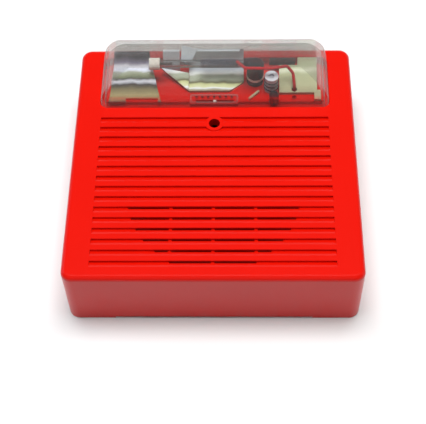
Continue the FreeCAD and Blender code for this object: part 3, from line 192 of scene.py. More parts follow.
@dataclass(frozen=True)
class Moulding(Tinted):
    """Moulded, extruded or coated surface: fine even grain and slow clouds of gloss."""

    grain_mm: float = 0.5
    grain_depth_mm: float = 0.012
    cloud_patches: float = 2.5  # a cloud of gloss spans this many patches of colour
    swing: float = 0.05
    gloss_coat: float = 0.0
    ior: float = 1.5

    def dress(self, tree: bpy.types.NodeTree, shader: bpy.types.Node,
              place: bpy.types.NodeSocket) -> bpy.types.NodeSocket:
        """Adds the grain and an uneven gloss.

        Args:
            tree: the material's tree.
            shader: its Principled shader.
            place: the piece's own coordinates.

        Returns:
            The socket that goes to the surface.
        """
        self.tint(tree, shader, place)
        shader.inputs["IOR"].default_value = self.ior
        shader.inputs["Coat Weight"].default_value = self.gloss_coat
        grain = add_node(tree, "ShaderNodeTexNoise", {"Vector": place, "Detail": 2.0,
                         "Scale": 1 / (self.grain_mm * MM)})
        self.relief(tree, shader, grain.outputs["Fac"], self.grain_depth_mm)
        cloud = add_node(tree, "ShaderNodeTexNoise", {"Vector": place, "Detail": 4.0,
                         "Scale": 1 / (self.cloud_patches * self.patch_mm * MM)})
        uneven = add_node(tree, "ShaderNodeMapRange", {"Value": cloud.outputs["Fac"],
                          "From Min": 0.0, "From Max": 1.0,
                          "To Min": self.roughness - self.swing,
                          "To Max": self.roughness + self.swing})
        tree.links.new(uneven.outputs["Result"], shader.inputs["Roughness"])
        return shader.outputs["BSDF"]


@dataclass(frozen=True)
class ThinClear(Tinted):
    """Thin clear wall: it greys what is behind it, and its edges turn milky."""

    haze: float = 0.03
    edge_haze: float = 0.6
    edge_power: float = 3.0
    glint: float = 0.35
    ior: float = 1.585
    milk: str = "F4F6F5"
    milk_through: float = 0.5  # the share of the milk that lets light through
    tilt_blend: float = 0.5
    shadow: str = "FEFEFE"

    def dress(self, tree: bpy.types.NodeTree, shader: bpy.types.Node,
              place: bpy.types.NodeSocket) -> bpy.types.NodeSocket:
        """Mixes the see-through wall with haze and glints, and lightens its shadow.

        Args:
            tree: the material's tree.
            shader: its Principled shader, which holds the colour.
            place: the piece's own coordinates.

        Returns:
            The socket that goes to the surface.
        """
        colour = self.tint(tree, shader, place)
        wall = add_node(tree, "ShaderNodeBsdfTransparent", {"Color": colour})
        over = add_node(tree, "ShaderNodeBsdfDiffuse", {"Color": linear(self.milk)})
        under = add_node(tree, "ShaderNodeBsdfTranslucent", {"Color": linear(self.milk)})
        milk = add_node(tree, "ShaderNodeMixShader", {0: self.milk_through,
                        1: over.outputs["BSDF"], 2: under.outputs["BSDF"]})
        tilt = add_node(tree, "ShaderNodeLayerWeight", {"Blend": self.tilt_blend})
        power = add_node(tree, "ShaderNodeMath", {0: tilt.outputs["Facing"], 1: self.edge_power},
                         operation="POWER")
        amount = add_node(tree, "ShaderNodeMath", {0: power.outputs["Value"],
                          1: self.edge_haze, 2: self.haze}, operation="MULTIPLY_ADD",
                          use_clamp=True)
        misty = add_node(tree, "ShaderNodeMixShader", {0: amount.outputs["Value"],
                         1: wall.outputs["BSDF"], 2: milk.outputs["Shader"]})
        bounce = add_node(tree, "ShaderNodeFresnel", {"IOR": self.ior})
        share = add_node(tree, "ShaderNodeMath", {0: bounce.outputs["Fac"], 1: self.glint},
                         operation="MULTIPLY")
        gloss = add_node(tree, "ShaderNodeBsdfAnisotropic", {"Roughness": self.roughness})
        bright = add_node(tree, "ShaderNodeMixShader", {0: share.outputs["Value"],
                          1: misty.outputs["Shader"], 2: gloss.outputs["BSDF"]})
        ray = add_node(tree, "ShaderNodeLightPath")
        pale = add_node(tree, "ShaderNodeBsdfTransparent", {"Color": linear(self.shadow)})
        last = add_node(tree, "ShaderNodeMixShader", {0: ray.outputs["Is Shadow Ray"],
                        1: bright.outputs["Shader"], 2: pale.outputs["BSDF"]})
        return last.outputs["Shader"]


@dataclass(frozen=True)
class Metallised(Finish):
    """Vacuum-metallised reflector plastic: bright, with painted reflections and painted shade in
    bands one above another.
    """

    low_mm: float
    high_mm: float
    # ramp stops of painted reflection and painted shade, from low to high along Y
    bands: tuple[tuple[float, str], ...]
    wave_mm: float = 1.2  # how far a band's edge strays
    wave_patch_mm: float = 1000 / 180  # 180 waves to the metre
    film_patch_mm: float = 1000 / 420  # 420 specks of film to the metre
    film_depth_mm: float = 0.05
    haze_swing: float = 0.4
    metal: float = 0.15

    def dress(self, tree: bpy.types.NodeTree, shader: bpy.types.Node,
              place: bpy.types.NodeSocket) -> bpy.types.NodeSocket:
        """Adds the bands of painted reflection and painted shade, a hazy uneven gloss and a soft
        unevenness of the film.

        Args:
            tree: the material's tree.
            shader: its Principled shader.
            place: the piece's own coordinates.

        Returns:
            The socket that goes to the surface.
        """
        wave = add_node(tree, "ShaderNodeTexNoise", {"Vector": place, "Detail": 2.0,
                        "Scale": 1 / (self.wave_patch_mm * MM)})
        drift = add_node(tree, "ShaderNodeMath", {0: wave.outputs["Fac"],
                         1: self.wave_mm * MM * 2}, operation="MULTIPLY")
        parts = add_node(tree, "ShaderNodeSeparateXYZ", {0: place})
        along = add_node(tree, "ShaderNodeMath", {0: parts.outputs["Y"],
                         1: drift.outputs["Value"]}, operation="ADD")
        share = add_node(tree, "ShaderNodeMapRange", {"Value": along.outputs["Value"],
                         "From Min": (self.low_mm + self.wave_mm) * MM,
                         "From Max": (self.high_mm + self.wave_mm) * MM})
        # The ramp paints reflections and shade into the base colour, as bands along Y.
        ramp = add_node(tree, "ShaderNodeValToRGB", {"Fac": share.outputs["Result"]})
        set_ramp(ramp, self.bands)
        tree.links.new(ramp.outputs["Color"], shader.inputs["Base Color"])
        shader.inputs["Metallic"].default_value = self.metal
        film = add_node(tree, "ShaderNodeTexNoise", {"Vector": place, "Detail": 2.0,
                        "Scale": 1 / (self.film_patch_mm * MM)})
        self.relief(tree, shader, film.outputs["Fac"], self.film_depth_mm)
        haze = add_node(tree, "ShaderNodeMapRange", {"Value": wave.outputs["Fac"],
                        "To Min": self.roughness * (1 - self.haze_swing),
                        "To Max": self.roughness * (1 + self.haze_swing)})
        tree.links.new(haze.outputs["Result"], shader.inputs["Roughness"])
        return shader.outputs["BSDF"]


@dataclass(frozen=True)
class PlatedMetal(Tinted):
    """Plated or rolled metal: drawn lines one way, with an uneven gloss across them."""

    lines_mm: float = 0.35
    stretch: tuple[float, float, float] = (0.08, 1.0, 1.0)
    line_depth_mm: float = 0.006
    gloss_swing: float = 0.3

    def dress(self, tree: bpy.types.NodeTree, shader: bpy.types.Node,
              place: bpy.types.NodeSocket) -> bpy.types.NodeSocket:
        """Adds the drawn lines, which lie along X.

        Args:
            tree: the material's tree.
            shader: its Principled shader.
            place: the piece's own coordinates.

        Returns:
            The socket that goes to the surface.
        """
        self.tint(tree, shader, place)
        shader.inputs["Metallic"].default_value = 1.0
        drawn = add_node(tree, "ShaderNodeMapping", {"Vector": place, "Scale": self.stretch})
        lines = add_node(tree, "ShaderNodeTexNoise", {"Vector": drawn.outputs["Vector"],
                         "Scale": 1 / (self.lines_mm * MM), "Detail": 3.0})
        self.relief(tree, shader, lines.outputs["Fac"], self.line_depth_mm)
        wear = add_node(tree, "ShaderNodeMapRange", {"Value": lines.outputs["Fac"],
                        "To Min": self.roughness * (1 - self.gloss_swing),
                        "To Max": self.roughness * (1 + self.gloss_swing)})
        tree.links.new(wear.outputs["Result"], shader.inputs["Roughness"])
        return shader.outputs["BSDF"]


@dataclass(frozen=True)
class CellFoam(Finish):
    """Open-cell foam: small dark pores, dull between them."""

    wall: str
    pore: str
    cell_mm: float = 0.7
    cell_depth_mm: float = 0.3

    def dress(self, tree: bpy.types.NodeTree, shader: bpy.types.Node,
              place: bpy.types.NodeSocket) -> bpy.types.NodeSocket:
        """Adds the pores.

        Args:
            tree: the material's tree.
            shader: its Principled shader.
            place: the piece's own coordinates.

        Returns:
            The socket that goes to the surface.
        """
        cells = add_node(tree, "ShaderNodeTexVoronoi", {"Vector": place,
                         "Scale": 1 / (self.cell_mm * MM)})
        mix = add_node(tree, "ShaderNodeMix", {"Factor": cells.outputs["Distance"],
                       "A": linear(self.pore), "B": linear(self.wall)}, data_type="RGBA")
        tree.links.new(mix.outputs["Result"], shader.inputs["Base Color"])
        self.relief(tree, shader, cells.outputs["Distance"], self.cell_depth_mm)
        return shader.outputs["BSDF"]


@dataclass(frozen=True)
class BoardLaminate(Finish):
    """Glass-epoxy board under solder mask: copper tracks show as paler lines."""

    mask: str
    track: str
    track_pitch_mm: float = 2.4
    track_sides: tuple[float, float] = (0.05, 0.08)  # shares of the pitch: fade start and end
    track_depth_mm: float = 0.03
    mask_gloss: float = 0.4

    def dress(self, tree: bpy.types.NodeTree, shader: bpy.types.Node,
              place: bpy.types.NodeSocket) -> bpy.types.NodeSocket:
        """Adds the tracks and the mask's gloss.

        Args:
            tree: the material's tree.
            shader: its Principled shader.
            place: the piece's own coordinates.

        Returns:
            The socket that goes to the surface.
        """
        cells = add_node(tree, "ShaderNodeTexVoronoi", {"Vector": place,
                         "Scale": 1 / (self.track_pitch_mm * MM)},
                         feature="DISTANCE_TO_EDGE", distance="EUCLIDEAN")
        line = add_node(tree, "ShaderNodeMapRange", {"Value": cells.outputs["Distance"],
                        "From Min": self.track_sides[0], "From Max": self.track_sides[1],
                        "To Min": 1.0, "To Max": 0.0})
        mix = add_node(tree, "ShaderNodeMix", {"Factor": line.outputs["Result"],
                       "A": linear(self.mask), "B": linear(self.track)}, data_type="RGBA")
        tree.links.new(mix.outputs["Result"], shader.inputs["Base Color"])
        shader.inputs["Coat Weight"].default_value = self.mask_gloss
        self.relief(tree, shader, line.outputs["Result"], self.track_depth_mm)
        return shader.outputs["BSDF"]


class Colour(Enum):
    """The finishes of this device, each for its own kind of piece."""

    # Red ABS, moulded glossy: it mirrors a pale surround at a low angle.
    COVER = Moulding("red_abs_moulded", 0.3, "D01003", "CA0E02", 26.0, swing=0.04, ior=1.4)
    # Red ABS a shade darker and duller, so that the lamp's floor doesn't glare.
    HOUSING = Moulding("red_abs_moulded_dull", 0.42, "C01208", "B61007", 12.0)
    # Grey ABS, moulded: an even grey with a fine grain.
    CHASSIS = Moulding("grey_abs_moulded", 0.45, "8C8E8C", "848684", 20.0)
    # Clear polycarbonate, moulded and polished: clear in front, milky along its edges.
    LENS = ThinClear("clear_polycarbonate_polished", 0.05, "F4F5F3", "F2F3F1")
    # Aluminium film on moulded ABS, metallised in vacuum: painted reflections in bright and
    # blue-white bands, a painted glint at the crease, and painted shade in dark bands at the
    # crease and both ends.
    MIRROR_LEFT = Metallised("metallised_abs_left_painted_light", 0.34, 33.0, 55.4, bands=(
        (0.0, "544E48"), (0.06, "8E8468"), (0.2, "A0946C"),
        (0.34, "7E745A"), (0.41, "484442"), (0.46, "F0F2FF"),
        (0.5, "55554E"), (0.58, "848A70"), (0.66, "A2A692"),
        (0.72, "E8ECFF"), (0.8, "F6F4FF"), (0.86, "8E86A0"),
        (0.93, "544E58"), (1.0, "3C383E")))
    # The same film behind the tube, with painted reflections: yellowish below, blue-white above,
    # and a band of painted shade between.
    MIRROR_MID = Metallised("metallised_abs_middle_painted_light", 0.34, 39.7, 56.0, bands=(
        (0.0, "A89A80"), (0.06, "B8B4A4"), (0.11, "F0F2F8"),
        (0.16, "DCDEB4"), (0.27, "CCCE98"), (0.33, "6C6A50"),
        (0.42, "A8AE9A"), (0.54, "B4BAA8"), (0.6, "F0F2F0"),
        (0.7, "C8D0DC"), (0.86, "D8DEE4"), (1.0, "C8CCD2")))
    # The same film at the right end: pale olive painted reflection, with one brighter band of
    # painted reflection.
    MIRROR_RIGHT = Metallised("metallised_abs_right_painted_light", 0.34, 38.0, 56.0, bands=(
        (0.0, "A8A084"), (0.2, "B8B692"), (0.5, "B4B894"),
        (0.6, "DCDEC4"), (0.7, "B8BC98"), (1.0, "B0B492")))
    # Borosilicate glass, drawn: nearly invisible but for a glint along the tube.
    GLASS = ThinClear("borosilicate_tube_drawn", 0.03, "FDFDFD", "FBFCFC", 5.0, haze=0.02,
                      edge_haze=0.3, edge_power=2.0, glint=0.9, ior=1.47)
    # Tungsten, swaged: dull grey with short lines.
    TUNGSTEN = PlatedMetal("tungsten_swaged", 0.4, "7C7A78", "6C6A68", 3.0)
    # Enamelled wire, close wound: dark violet with a soft gloss.
    TRIGGER = Moulding("enamelled_wire_wound", 0.3, "4E4A66", "2A2740", 1.2)
    # Silicone rubber, moulded: near black with a deeper grain.
    RUBBER = Moulding("black_silicone_moulded", 0.5, "15161C", "1E2028", 5.0, grain_depth_mm=0.03)
    # White nylon, moulded: warm white with a waxy gloss.
    NYLON = Moulding("white_nylon_moulded", 0.4, "F0ECE2", "E4E0D4", 5.0)
    # Satin nickel plate: pale, even and glossy, without a bare metal's dark reflections.
    FERRULE = Moulding("nickel_plated_satin", 0.3, "C9CAD2", "B9BAC4", 3.0, gloss_coat=0.4)
    # Painted shade in the ferrule's grooves: near black rings.
    BAND = Moulding("ferrule_groove_painted_shade", 0.4, "2A2834", "201E28", 2.0)
    # Black ink, printed: small dark marks, matte.
    MARK = Moulding("black_ink_printed", 0.5, "1E1214", "2A1A1C", 1.0)
    # Steel under black oxide, tumbled: near black with a soft gloss.
    STUD = Moulding("black_oxide_tumbled", 0.35, "17161C", "221F24", 3.0)
    # Polyester tape, wound: near black with a film's gloss.
    TAPE = Moulding("polyester_tape_wound", 0.4, "1C1A1A", "2A2624", 3.0)
    # Red PVC, extruded on the lead: deep red with a soft gloss.
    RED_LEAD = Moulding("red_pvc_extruded", 0.35, "C4101C", "A80E18", 4.0)
    # Clear acrylic, moulded: hazy enough to pale the red behind it.
    BEZEL = ThinClear("clear_acrylic_moulded", 0.12, "EEE2E2", "EADEDE", haze=0.14,
                      edge_haze=0.0, glint=0.2, ior=1.49)
    # Black acetal, moulded: a low, slippery gloss.
    SLIDER = Moulding("black_acetal_moulded", 0.4, "1A181A", "242022", 4.0)
    # White acetal, moulded: pale, so that it stands out on the scale.
    POINTER = Moulding("white_acetal_moulded", 0.4, "E8E4DC", "DAD6CE", 2.0)
    # Steel sheet, rolled and zinc plated: mid grey with long drawn lines.
    STEEL_PLATE = PlatedMetal("zinc_plated_sheet_rolled", 0.38, "B4B6B8", "A2A6AA", 14.0)
    # Steel screws, thread rolled and zinc plated: a little glossier than the sheet.
    SCREW = PlatedMetal("zinc_plated_thread_rolled", 0.3, "B8B8B4", "A4A4A4", 2.0)
    # Steel screw, thread rolled, under black oxide: dark brown, unevenly worn.
    BLACK_SCREW = PlatedMetal("black_oxide_thread_rolled", 0.4, "26221E", "3A342C", 1.5)
    # PVC sleeve, shrunk on a can: dark blue and glossy.
    CAN = Moulding("blue_pvc_sleeve_shrunk", 0.3, "1C2230", "262E40", 6.0)
    # Epoxy, potted: black and wet-looking.
    POTTING = Moulding("black_epoxy_potted", 0.25, "141414", "1E1E1C", 5.0)
    # Ferrite, sintered: dark grey and dull.
    FERRITE = Moulding("ferrite_sintered", 0.6, "302E30", "3C3A3C", 3.0)
    # Glass-epoxy laminate under green solder mask: its tracks show as paler lines.
    BOARD = BoardLaminate("glass_epoxy_green_masked", 0.35, "0E5A2C", "2E8A4A")
    # Blue PVC, extruded on the leads: strong blue with a soft gloss.
    LINK = Moulding("blue_pvc_extruded", 0.4, "1E3C8C", "183070", 4.0)
    # Black PVC, extruded on the leads: black with a soft gloss.
    PIEZO_LEAD = Moulding("black_pvc_extruded", 0.4, "1A1A1A", "242424", 4.0)
    # Epoxy, moulded round the chip: black with a fine dull grain.
    CHIP = Moulding("black_epoxy_moulded", 0.45, "1C1C1E", "262628", 2.0)
    # Grey nylon, moulded: blue-grey with a waxy gloss.
    TERMINAL = Moulding("grey_nylon_moulded", 0.45, "4A5258", "424A50", 6.0)
    # Black ABS, moulded: warm black with a fine grain.
    HORN = Moulding("black_abs_moulded", 0.4, "201E1E", "2A2828", 14.0)
    # Polyurethane foam, cut: open cells, quite dull.
    FOAM = CellFoam("polyurethane_foam_cut", 0.9, "55585A", "2A2C2E")
    # Brass sheet, rolled: yellow with fine drawn lines.
    BRASS = PlatedMetal("brass_sheet_rolled", 0.28, "C8A040", "B08C34", 8.0)
    # Piezo ceramic, silvered: pale warm grey, nearly matte.
    CERAMIC = Moulding("piezo_ceramic_silvered", 0.45, "C8C4B8", "BCB8AC", 5.0)
    # Black nylon, moulded: near black with a soft gloss.
    SWITCH = Moulding("black_nylon_moulded", 0.4, "1E2022", "282A2C", 3.0)
    # Ivory acetal, moulded: cream with a low gloss.
    KNOB = Moulding("ivory_acetal_moulded", 0.35, "E4DFD0", "D8D3C4", 2.0)
    # Nickel-plated steel, pressed: warm grey with fine lines.
    CLAMP = PlatedMetal("nickel_plated_steel_pressed", 0.34, "B0ACA0", "9C988C", 3.0)


NODE_FINISH: dict[str, Colour] = {
    "cover": Colour.COVER, "lamp_housing": Colour.HOUSING, "chassis": Colour.CHASSIS,
    "mounting_plate": Colour.STEEL_PLATE, "lens": Colour.LENS,
    "left_mirror": Colour.MIRROR_LEFT, "trough_mirror": Colour.MIRROR_MID,
    "trough_wing": Colour.MIRROR_MID, "trough_fin": Colour.MIRROR_MID,
    "right_mirror": Colour.MIRROR_RIGHT, "back_reflector": Colour.MIRROR_MID,
    "wing_strut": Colour.MIRROR_RIGHT,
    "flash_tube": Colour.GLASS, "tube_electrodes": Colour.TUNGSTEN,
    "trigger_winding": Colour.TRIGGER, "tube_boot": Colour.RUBBER,
    "left_sleeve": Colour.NYLON, "boot_band": Colour.NYLON, "lamp_ferrule": Colour.FERRULE,
    "mirror_stud": Colour.STUD, "trigger_coil": Colour.TAPE, "trigger_wire": Colour.RED_LEAD,
    "selector_bezel": Colour.BEZEL, "selector_slider": Colour.SLIDER,
    "selector_pointer": Colour.POINTER, "flash_capacitor": Colour.CAN,
    "trigger_transformer": Colour.POTTING, "lamp_inductor": Colour.FERRITE,
    "lamp_diodes": Colour.CHIP, "lamp_board": Colour.BOARD, "main_board": Colour.BOARD,
    "board_screws": Colour.SCREW, "chassis_screws": Colour.SCREW, "horn_screws": Colour.SCREW,
    "cover_screw": Colour.BLACK_SCREW, "cover_screw_retainer": Colour.NYLON,
    "link_leads": Colour.LINK, "sounder_leads": Colour.PIEZO_LEAD, "chips": Colour.CHIP,
    "board_capacitors": Colour.CAN, "sounder_coil": Colour.FERRITE,
    "terminal_block": Colour.TERMINAL, "sounder_cup": Colour.HORN,
    "sounder_horn": Colour.HORN, "sounder_gasket": Colour.FOAM,
    "piezo_plate": Colour.BRASS, "piezo_ceramic": Colour.CERAMIC,
    "tone_switch_case": Colour.SWITCH, "volume_switch_case": Colour.SWITCH,
    "tone_switch_knob": Colour.KNOB, "volume_switch_knob": Colour.KNOB,
    **{f"terminal_screw_{i}": Colour.SCREW for i in range(1, 5)},
    **{f"terminal_clamp_{i}": Colour.CLAMP for i in range(1, 5)},
}


@dataclass
class Paintshop:
    """Makes each finish once and hands it out."""

    made: dict[Colour, bpy.types.Material] = field(default_factory=dict)

    def get(self, colour: Colour) -> bpy.types.Material:
        """Hands out a finish's material and makes it when it is first asked for.

        Args:
            colour: the finish.

        Returns:
            Its material.
        """
        if colour not in self.made:
            self.made[colour] = colour.value.make()
        return self.made[colour]

    def dress_frame(self) -> None:
        """Gives every CAD node its finish."""
        for name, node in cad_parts.items():
            material = self.get(NODE_FINISH[name])
            for slot in node.material_slots:
                slot.material = material
            if not node.material_slots:
                node.data.materials.append(material)
            LOG.info("%s wears %s", name, material.name)


# ---- repeated pieces --------------------------------------------------------
@dataclass(frozen=True)
class Repeat:
    """A node tree that repeats one shape, and what the finished piece belongs to."""

    name: str
    colour: Colour
    node: str
    slot: str
    stands_for: tuple[str, ...] = ()

    def fill(self, tree: bpy.types.GeometryNodeTree,
             given: bpy.types.Node) -> bpy.types.NodeSocket:
        """Adds the shape and its repeats to the tree.

        Args:
            tree: the piece's tree.
            given: the group input, whose outputs are the named sizes.

        Returns:
            The geometry socket.
        """
        raise NotImplementedError

    def sizes(self) -> dict[str, float]:
        """Works out the named sizes of the tree.

        Returns:
            Lengths in metres, and counts.
        """
        raise NotImplementedError

    def make_tree(self, material: bpy.types.Material) -> bpy.types.GeometryNodeTree:
        """Builds the tree: named sizes go in, and one real, dressed mesh comes out.

        Args:
            material: what the shape wears.

        Returns:
            The tree.
        """
        tree = bpy.data.node_groups.new(f"{self.name}_tree", "GeometryNodeTree")
        for label, value in self.sizes().items():
            kind = "NodeSocketInt" if isinstance(value, int) else "NodeSocketFloat"
            tree.interface.new_socket(label, in_out="INPUT", socket_type=kind)
        tree.interface.new_socket("Geometry", in_out="OUTPUT", socket_type="NodeSocketGeometry")
        given = add_node(tree, "NodeGroupInput")
        shape = self.fill(tree, given)
        real = add_node(tree, "GeometryNodeRealizeInstances", {"Geometry": shape})
        dressed = add_node(tree, "GeometryNodeSetMaterial",
                           {"Geometry": real.outputs["Geometry"], "Material": material})
        out = add_node(tree, "NodeGroupOutput")
        tree.links.new(dressed.outputs["Geometry"], out.inputs["Geometry"])
        return tree

    def run_tree(self, tree: bpy.types.GeometryNodeTree) -> bpy.types.Mesh:
        """Runs the tree once with this piece's sizes.

        Args:
            tree: the piece's tree.

        Returns:
            A plain mesh that no longer needs the tree.
        """
        blank = bpy.data.meshes.new(f"{self.name}_blank")
        carrier = bpy.data.objects.new(f"{self.name}_carrier", blank)
        bpy.context.scene.collection.objects.link(carrier)
        modifier = carrier.modifiers.new("repeat", "NODES")
        modifier.node_group = tree
        sockets = {item.name: item.identifier for item in tree.interface.items_tree
                   if item.in_out == "INPUT"}
        for label, value in self.sizes().items():
            modifier[sockets[label]] = value
        ready = carrier.evaluated_get(bpy.context.evaluated_depsgraph_get())
        mesh = bpy.data.meshes.new_from_object(ready)
        bpy.data.objects.remove(carrier)
        mesh.name = self.name
        return mesh

    def build(self, paints: Paintshop) -> None:
        """Makes the piece and hangs it on the device.

        Args:
            paints: where the finish comes from.
        """
        material = paints.get(self.colour)
        mesh = self.run_tree(self.make_tree(material))
        mesh.materials.clear()
        mesh.materials.append(material)
        piece = bpy.data.objects.new(self.name, mesh)
        bpy.context.scene.collection.objects.link(piece)
        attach(piece, "base")
        if self.stands_for:
            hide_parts(*self.stands_for)
        LOG.info("%s has %d faces", self.name, len(mesh.polygons))


@dataclass(frozen=True)
class Winding(Repeat):
    """Close-wound fine wire round a CAD sleeve that lies along X."""

    pitch_mm: float = 0.52
    wire_mm: float = 0.13
    steps: int = 18  # points in each turn
    wire_sides: int = 6

    def sizes(self) -> dict[str, float]:
        """Reads the sleeve's own length and radius.

        Returns:
            Lengths in metres, and counts.
        """
        low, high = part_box(self.node)
        radius = (high.z - low.z) / 2 - self.wire_mm * MM
        length = high.x - low.x
        return {"Turns": float(length / (self.pitch_mm * MM)), "Radius": float(radius),
                "Length": float(length - 2 * self.wire_mm * MM), "Wire": self.wire_mm * MM,
                "Steps": self.steps}

    def fill(self, tree: bpy.types.GeometryNodeTree,
             given: bpy.types.Node) -> bpy.types.NodeSocket:
        """Sweeps the wire along one long spiral, laid along X.

        Args:
            tree: the piece's tree.
            given: the group input, whose outputs are the named sizes.

        Returns:
            The geometry socket.
        """
        low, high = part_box(self.node)
        middle = (low + high) / 2
        spiral = add_node(tree, "GeometryNodeCurveSpiral", {
            "Resolution": given.outputs["Steps"], "Rotations": given.outputs["Turns"],
            "Start Radius": given.outputs["Radius"], "End Radius": given.outputs["Radius"],
            "Height": given.outputs["Length"]})
        wire = add_node(tree, "GeometryNodeCurvePrimitiveCircle",
                        {"Resolution": self.wire_sides, "Radius": given.outputs["Wire"]})
        swept = add_node(tree, "GeometryNodeCurveToMesh", {
            "Curve": spiral.outputs["Curve"], "Profile Curve": wire.outputs["Curve"],
            "Fill Caps": True})
        laid = add_node(tree, "GeometryNodeTransform", {
            "Geometry": swept.outputs["Mesh"], "Rotation": (0.0, math.pi / 2, 0.0),
            "Translation": (low.x + self.wire_mm * MM, middle.y, middle.z)})
        return laid.outputs["Geometry"]


@dataclass(frozen=True)
class Bands(Repeat):
    """Round bands one above another on an upright turned piece."""

    count: int = 3
    thick_mm: float = 0.28
    first_share: float = 0.22  # the lowest band's place, as a share of the height
    ring_sides: int = 32
    edge_sides: int = 8

    def sizes(self) -> dict[str, float]:
        """Reads the turned piece's own radius and height.

        Returns:
            Lengths in metres, and counts.
        """
        low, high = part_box(self.node)
        return {"Count": self.count, "Radius": float((high.x - low.x) / 2),
                "Thick": self.thick_mm * MM,
                "Step": float((high.z - low.z) * (1 - self.first_share) / self.count)}

    def fill(self, tree: bpy.types.GeometryNodeTree,
             given: bpy.types.Node) -> bpy.types.NodeSocket:
        """Puts one ring on each point of an upright line.

        Args:
            tree: the piece's tree.
            given: the group input, whose outputs are the named sizes.

        Returns:
            The geometry socket.
        """
        low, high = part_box(self.node)
        middle = (low + high) / 2
        way = add_node(tree, "ShaderNodeCombineXYZ", {"Z": given.outputs["Step"]})
        start = (middle.x, middle.y, low.z + (high.z - low.z) * self.first_share)
        line = add_node(tree, "GeometryNodeMeshLine", {
            "Count": given.outputs["Count"], "Start Location": start,
            "Offset": way.outputs["Vector"]})
        ring = add_node(tree, "GeometryNodeCurvePrimitiveCircle",
                        {"Resolution": self.ring_sides, "Radius": given.outputs["Radius"]})
        edge = add_node(tree, "GeometryNodeCurvePrimitiveCircle",
                        {"Resolution": self.edge_sides, "Radius": given.outputs["Thick"]})
        swept = add_node(tree, "GeometryNodeCurveToMesh", {
            "Curve": ring.outputs["Curve"], "Profile Curve": edge.outputs["Curve"]})
        placed = add_node(tree, "GeometryNodeInstanceOnPoints", {
            "Points": line.outputs["Mesh"], "Instance": swept.outputs["Mesh"]})
        return placed.outputs["Instances"]


@dataclass(frozen=True)
class ScaleMarks(Repeat):
    """Short raised marks along the selector's window, all of one height."""

    count: int = 7
    inset_mm: float = 3.2
    back_mm: float = 1.7
    mark_mm: tuple[float, float, float] = (1.1, 1.2, 0.2)
    corners: tuple[int, int, int] = (3, 3, 2)  # points along a mark's three edges

    def sizes(self) -> dict[str, float]:
        """Reads the window's own length.

        Returns:
            Lengths in metres, and counts.
        """
        low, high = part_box(self.node)
        run = high.x - low.x - 2 * self.inset_mm * MM
        return {"Count": self.count, "Step": float(run / (self.count - 1)),
                "Wide": self.mark_mm[0] * MM, "Long": self.mark_mm[1] * MM,
                "Tall": self.mark_mm[2] * MM}

    def fill(self, tree: bpy.types.GeometryNodeTree,
             given: bpy.types.Node) -> bpy.types.NodeSocket:
        """Puts one small block on each point of a line along X.

        Args:
            tree: the piece's tree.
            given: the group input, whose outputs are the named sizes.

        Returns:
            The geometry socket.
        """
        low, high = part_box(self.node)
        start = (low.x + self.inset_mm * MM, high.y - self.back_mm * MM, high.z)
        way = add_node(tree, "ShaderNodeCombineXYZ", {"X": given.outputs["Step"]})
        line = add_node(tree, "GeometryNodeMeshLine", {
            "Count": given.outputs["Count"], "Start Location": start,
            "Offset": way.outputs["Vector"]})
        size = add_node(tree, "ShaderNodeCombineXYZ", {
            "X": given.outputs["Wide"], "Y": given.outputs["Long"], "Z": given.outputs["Tall"]})
        block = add_node(tree, "GeometryNodeMeshCube", {
            "Size": size.outputs["Vector"], "Vertices X": self.corners[0],
            "Vertices Y": self.corners[1], "Vertices Z": self.corners[2]})
        placed = add_node(tree, "GeometryNodeInstanceOnPoints", {
            "Points": line.outputs["Mesh"], "Instance": block.outputs["Mesh"]})
        return placed.outputs["Instances"]


LAMP_REPEATS: tuple[Repeat, ...] = (
    Winding("flash_tube_winding", Colour.TRIGGER, "trigger_winding", "trigger_metal",
            ("trigger_winding",)),
    Winding("trigger_coil_winding", Colour.TAPE, "trigger_coil", "coil_tape",
            ("trigger_coil",), pitch_mm=0.62, wire_mm=0.3),
    # The ferrule's near-black rings are painted shade for its grooves.
    Bands("ferrule_bands", Colour.BAND, "lamp_ferrule", "ferrule_metal"),
    ScaleMarks("selector_scale_marks", Colour.MARK, "selector_bezel", "bezel_clear"),
)


# ---- studio -----------------------------------------------------------------
@dataclass(frozen=True)
class Lamp:
    """One soft panel: its place, where it points, its size and how bright its face is."""

    name: str
    place: tuple[float, float, float]
    aim: tuple[float, float, float]
    size: tuple[float, float]
    brightness: float
    colour: str = "FFFFFF"
    mirrored: bool = True

    def build(self) -> None:
        """Adds the panel to the scene."""
        data = bpy.data.lights.new(self.name, "AREA")
        data.shape = "RECTANGLE"
        data.size, data.size_y = self.size
        data.color = linear(self.colour)[:3]
        # A panel gives pi times its brightness for each square metre of its face.
        data.energy = self.brightness * math.pi * self.size[0] * self.size[1]
        lamp = bpy.data.objects.new(self.name, data)
        lamp.location = self.place
        lamp.visible_glossy = self.mirrored
        way = Vector(self.aim) - Vector(self.place)
        lamp.rotation_euler = way.to_track_quat("-Z", "Y").to_euler()
        bpy.context.scene.collection.objects.link(lamp)


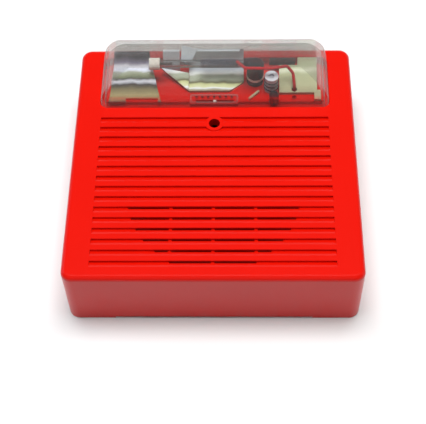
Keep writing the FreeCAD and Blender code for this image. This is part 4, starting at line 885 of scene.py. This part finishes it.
@dataclass(frozen=True)
class Studio:
    """Floor, panels, surround and camera. Lengths are in metres but for the lens and sensor."""

    floor_side: float = 8.0
    floor_drop: float = 0.0002
    # Pale matte paper, rolled: faint mottling, no gloss.
    paper: Moulding = Moulding("pale_paper_rolled", 0.9, "DEDEDE", "DCDCDC", patch_mm=120.0,
                               grain_depth_mm=0.01)
    surround: float = 0.11
    lens_mm: float = 86.53
    sensor_mm: float = 36.0
    near_clip: float = 0.01
    eye: tuple[float, float, float] = (0.01019, -0.27606, 0.42188)
    pitch: float = math.radians(57.568)
    yaw: float = math.radians(-2.403)
    roll: float = math.radians(-2.108)
    lamps: tuple[Lamp, ...] = (
        # The main light. It is kept out of reflections, where it would burn out the mirrors.
        Lamp("key_panel", (0.0, 0.14, 1.6), (0.0, 0.0, 0.0), (0.95, 0.8), 14.9,
             mirrored=False),
        # These give little light, and show as glints in the mirrors and on the hood.
        Lamp("front_card", (0.0, -1.3, 1.2), (0.0, 0.0, 0.03), (1.8, 0.5), 0.45),
        Lamp("top_strip", (0.0, 0.25, 1.5), (0.0, 0.0, 0.0), (1.6, 0.25), 0.9),
        Lamp("back_panel", (0.0, 1.6, 0.34), (0.0, 0.0, 0.1), (3.0, 0.6), 0.75),
        Lamp("left_window", (-1.5, 0.5, 0.9), (0.0, 0.0, 0.0), (0.7, 0.9), 1.6, "DDE4FF"),
        Lamp("right_window", (1.6, 0.2, 0.8), (0.0, 0.0, 0.0), (0.6, 0.9), 1.2, "FFF4E4"),
    )

    def build(self) -> None:
        """Adds everything that isn't the device."""
        scene = bpy.context.scene
        scene.view_settings.view_transform = "Standard"
        self.build_floor()
        for lamp in self.lamps:
            lamp.build()
        world = bpy.data.worlds.new("surround")
        world.use_nodes = True
        back = world.node_tree.nodes["Background"]
        back.inputs["Color"].default_value = linear("FFFFFF")
        back.inputs["Strength"].default_value = self.surround
        scene.world = world
        self.build_camera()
        LOG.info("studio built with %d panels", len(self.lamps))

    def build_floor(self) -> None:
        """Lays the pale paper floor just under the device."""
        half = self.floor_side / 2
        mesh = bpy.data.meshes.new("floor")
        corners = [(-half, -half), (half, -half), (half, half), (-half, half)]
        mesh.from_pydata([(x, y, -self.floor_drop) for x, y in corners], [], [(0, 1, 2, 3)])
        floor = bpy.data.objects.new("floor", mesh)
        bpy.context.scene.collection.objects.link(floor)
        mesh.materials.append(self.paper.make())

    def build_camera(self) -> None:
        """Places the camera at its eye and turns it by its pitch, yaw and roll."""
        ahead = Vector((math.sin(self.yaw) * math.cos(self.pitch),
                        math.cos(self.yaw) * math.cos(self.pitch), -math.sin(self.pitch)))
        side = Vector((math.cos(self.yaw), -math.sin(self.yaw), 0.0))
        over = side.cross(ahead)
        right = side * math.cos(self.roll) + over * math.sin(self.roll)
        up = over * math.cos(self.roll) - side * math.sin(self.roll)
        data = bpy.data.cameras.new("camera")
        data.lens = self.lens_mm
        data.sensor_width = self.sensor_mm
        data.sensor_fit = "HORIZONTAL"
        data.clip_start = self.near_clip
        camera = bpy.data.objects.new("camera", data)
        turned = Matrix((right, up, -ahead)).transposed().to_4x4()
        camera.matrix_world = Matrix.Translation(self.eye) @ turned
        bpy.context.scene.collection.objects.link(camera)
        bpy.context.scene.camera = camera


def main() -> None:
    """Builds the studio, dresses the frame and adds the repeated pieces."""
    logging.basicConfig(level=logging.INFO)
    Studio().build()
    paints = Paintshop()
    paints.dress_frame()
    for repeat in LAMP_REPEATS:
        repeat.build(paints)
    LOG.info("%d CAD nodes dressed", len(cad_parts))


if __name__ == "__main__":
    main()
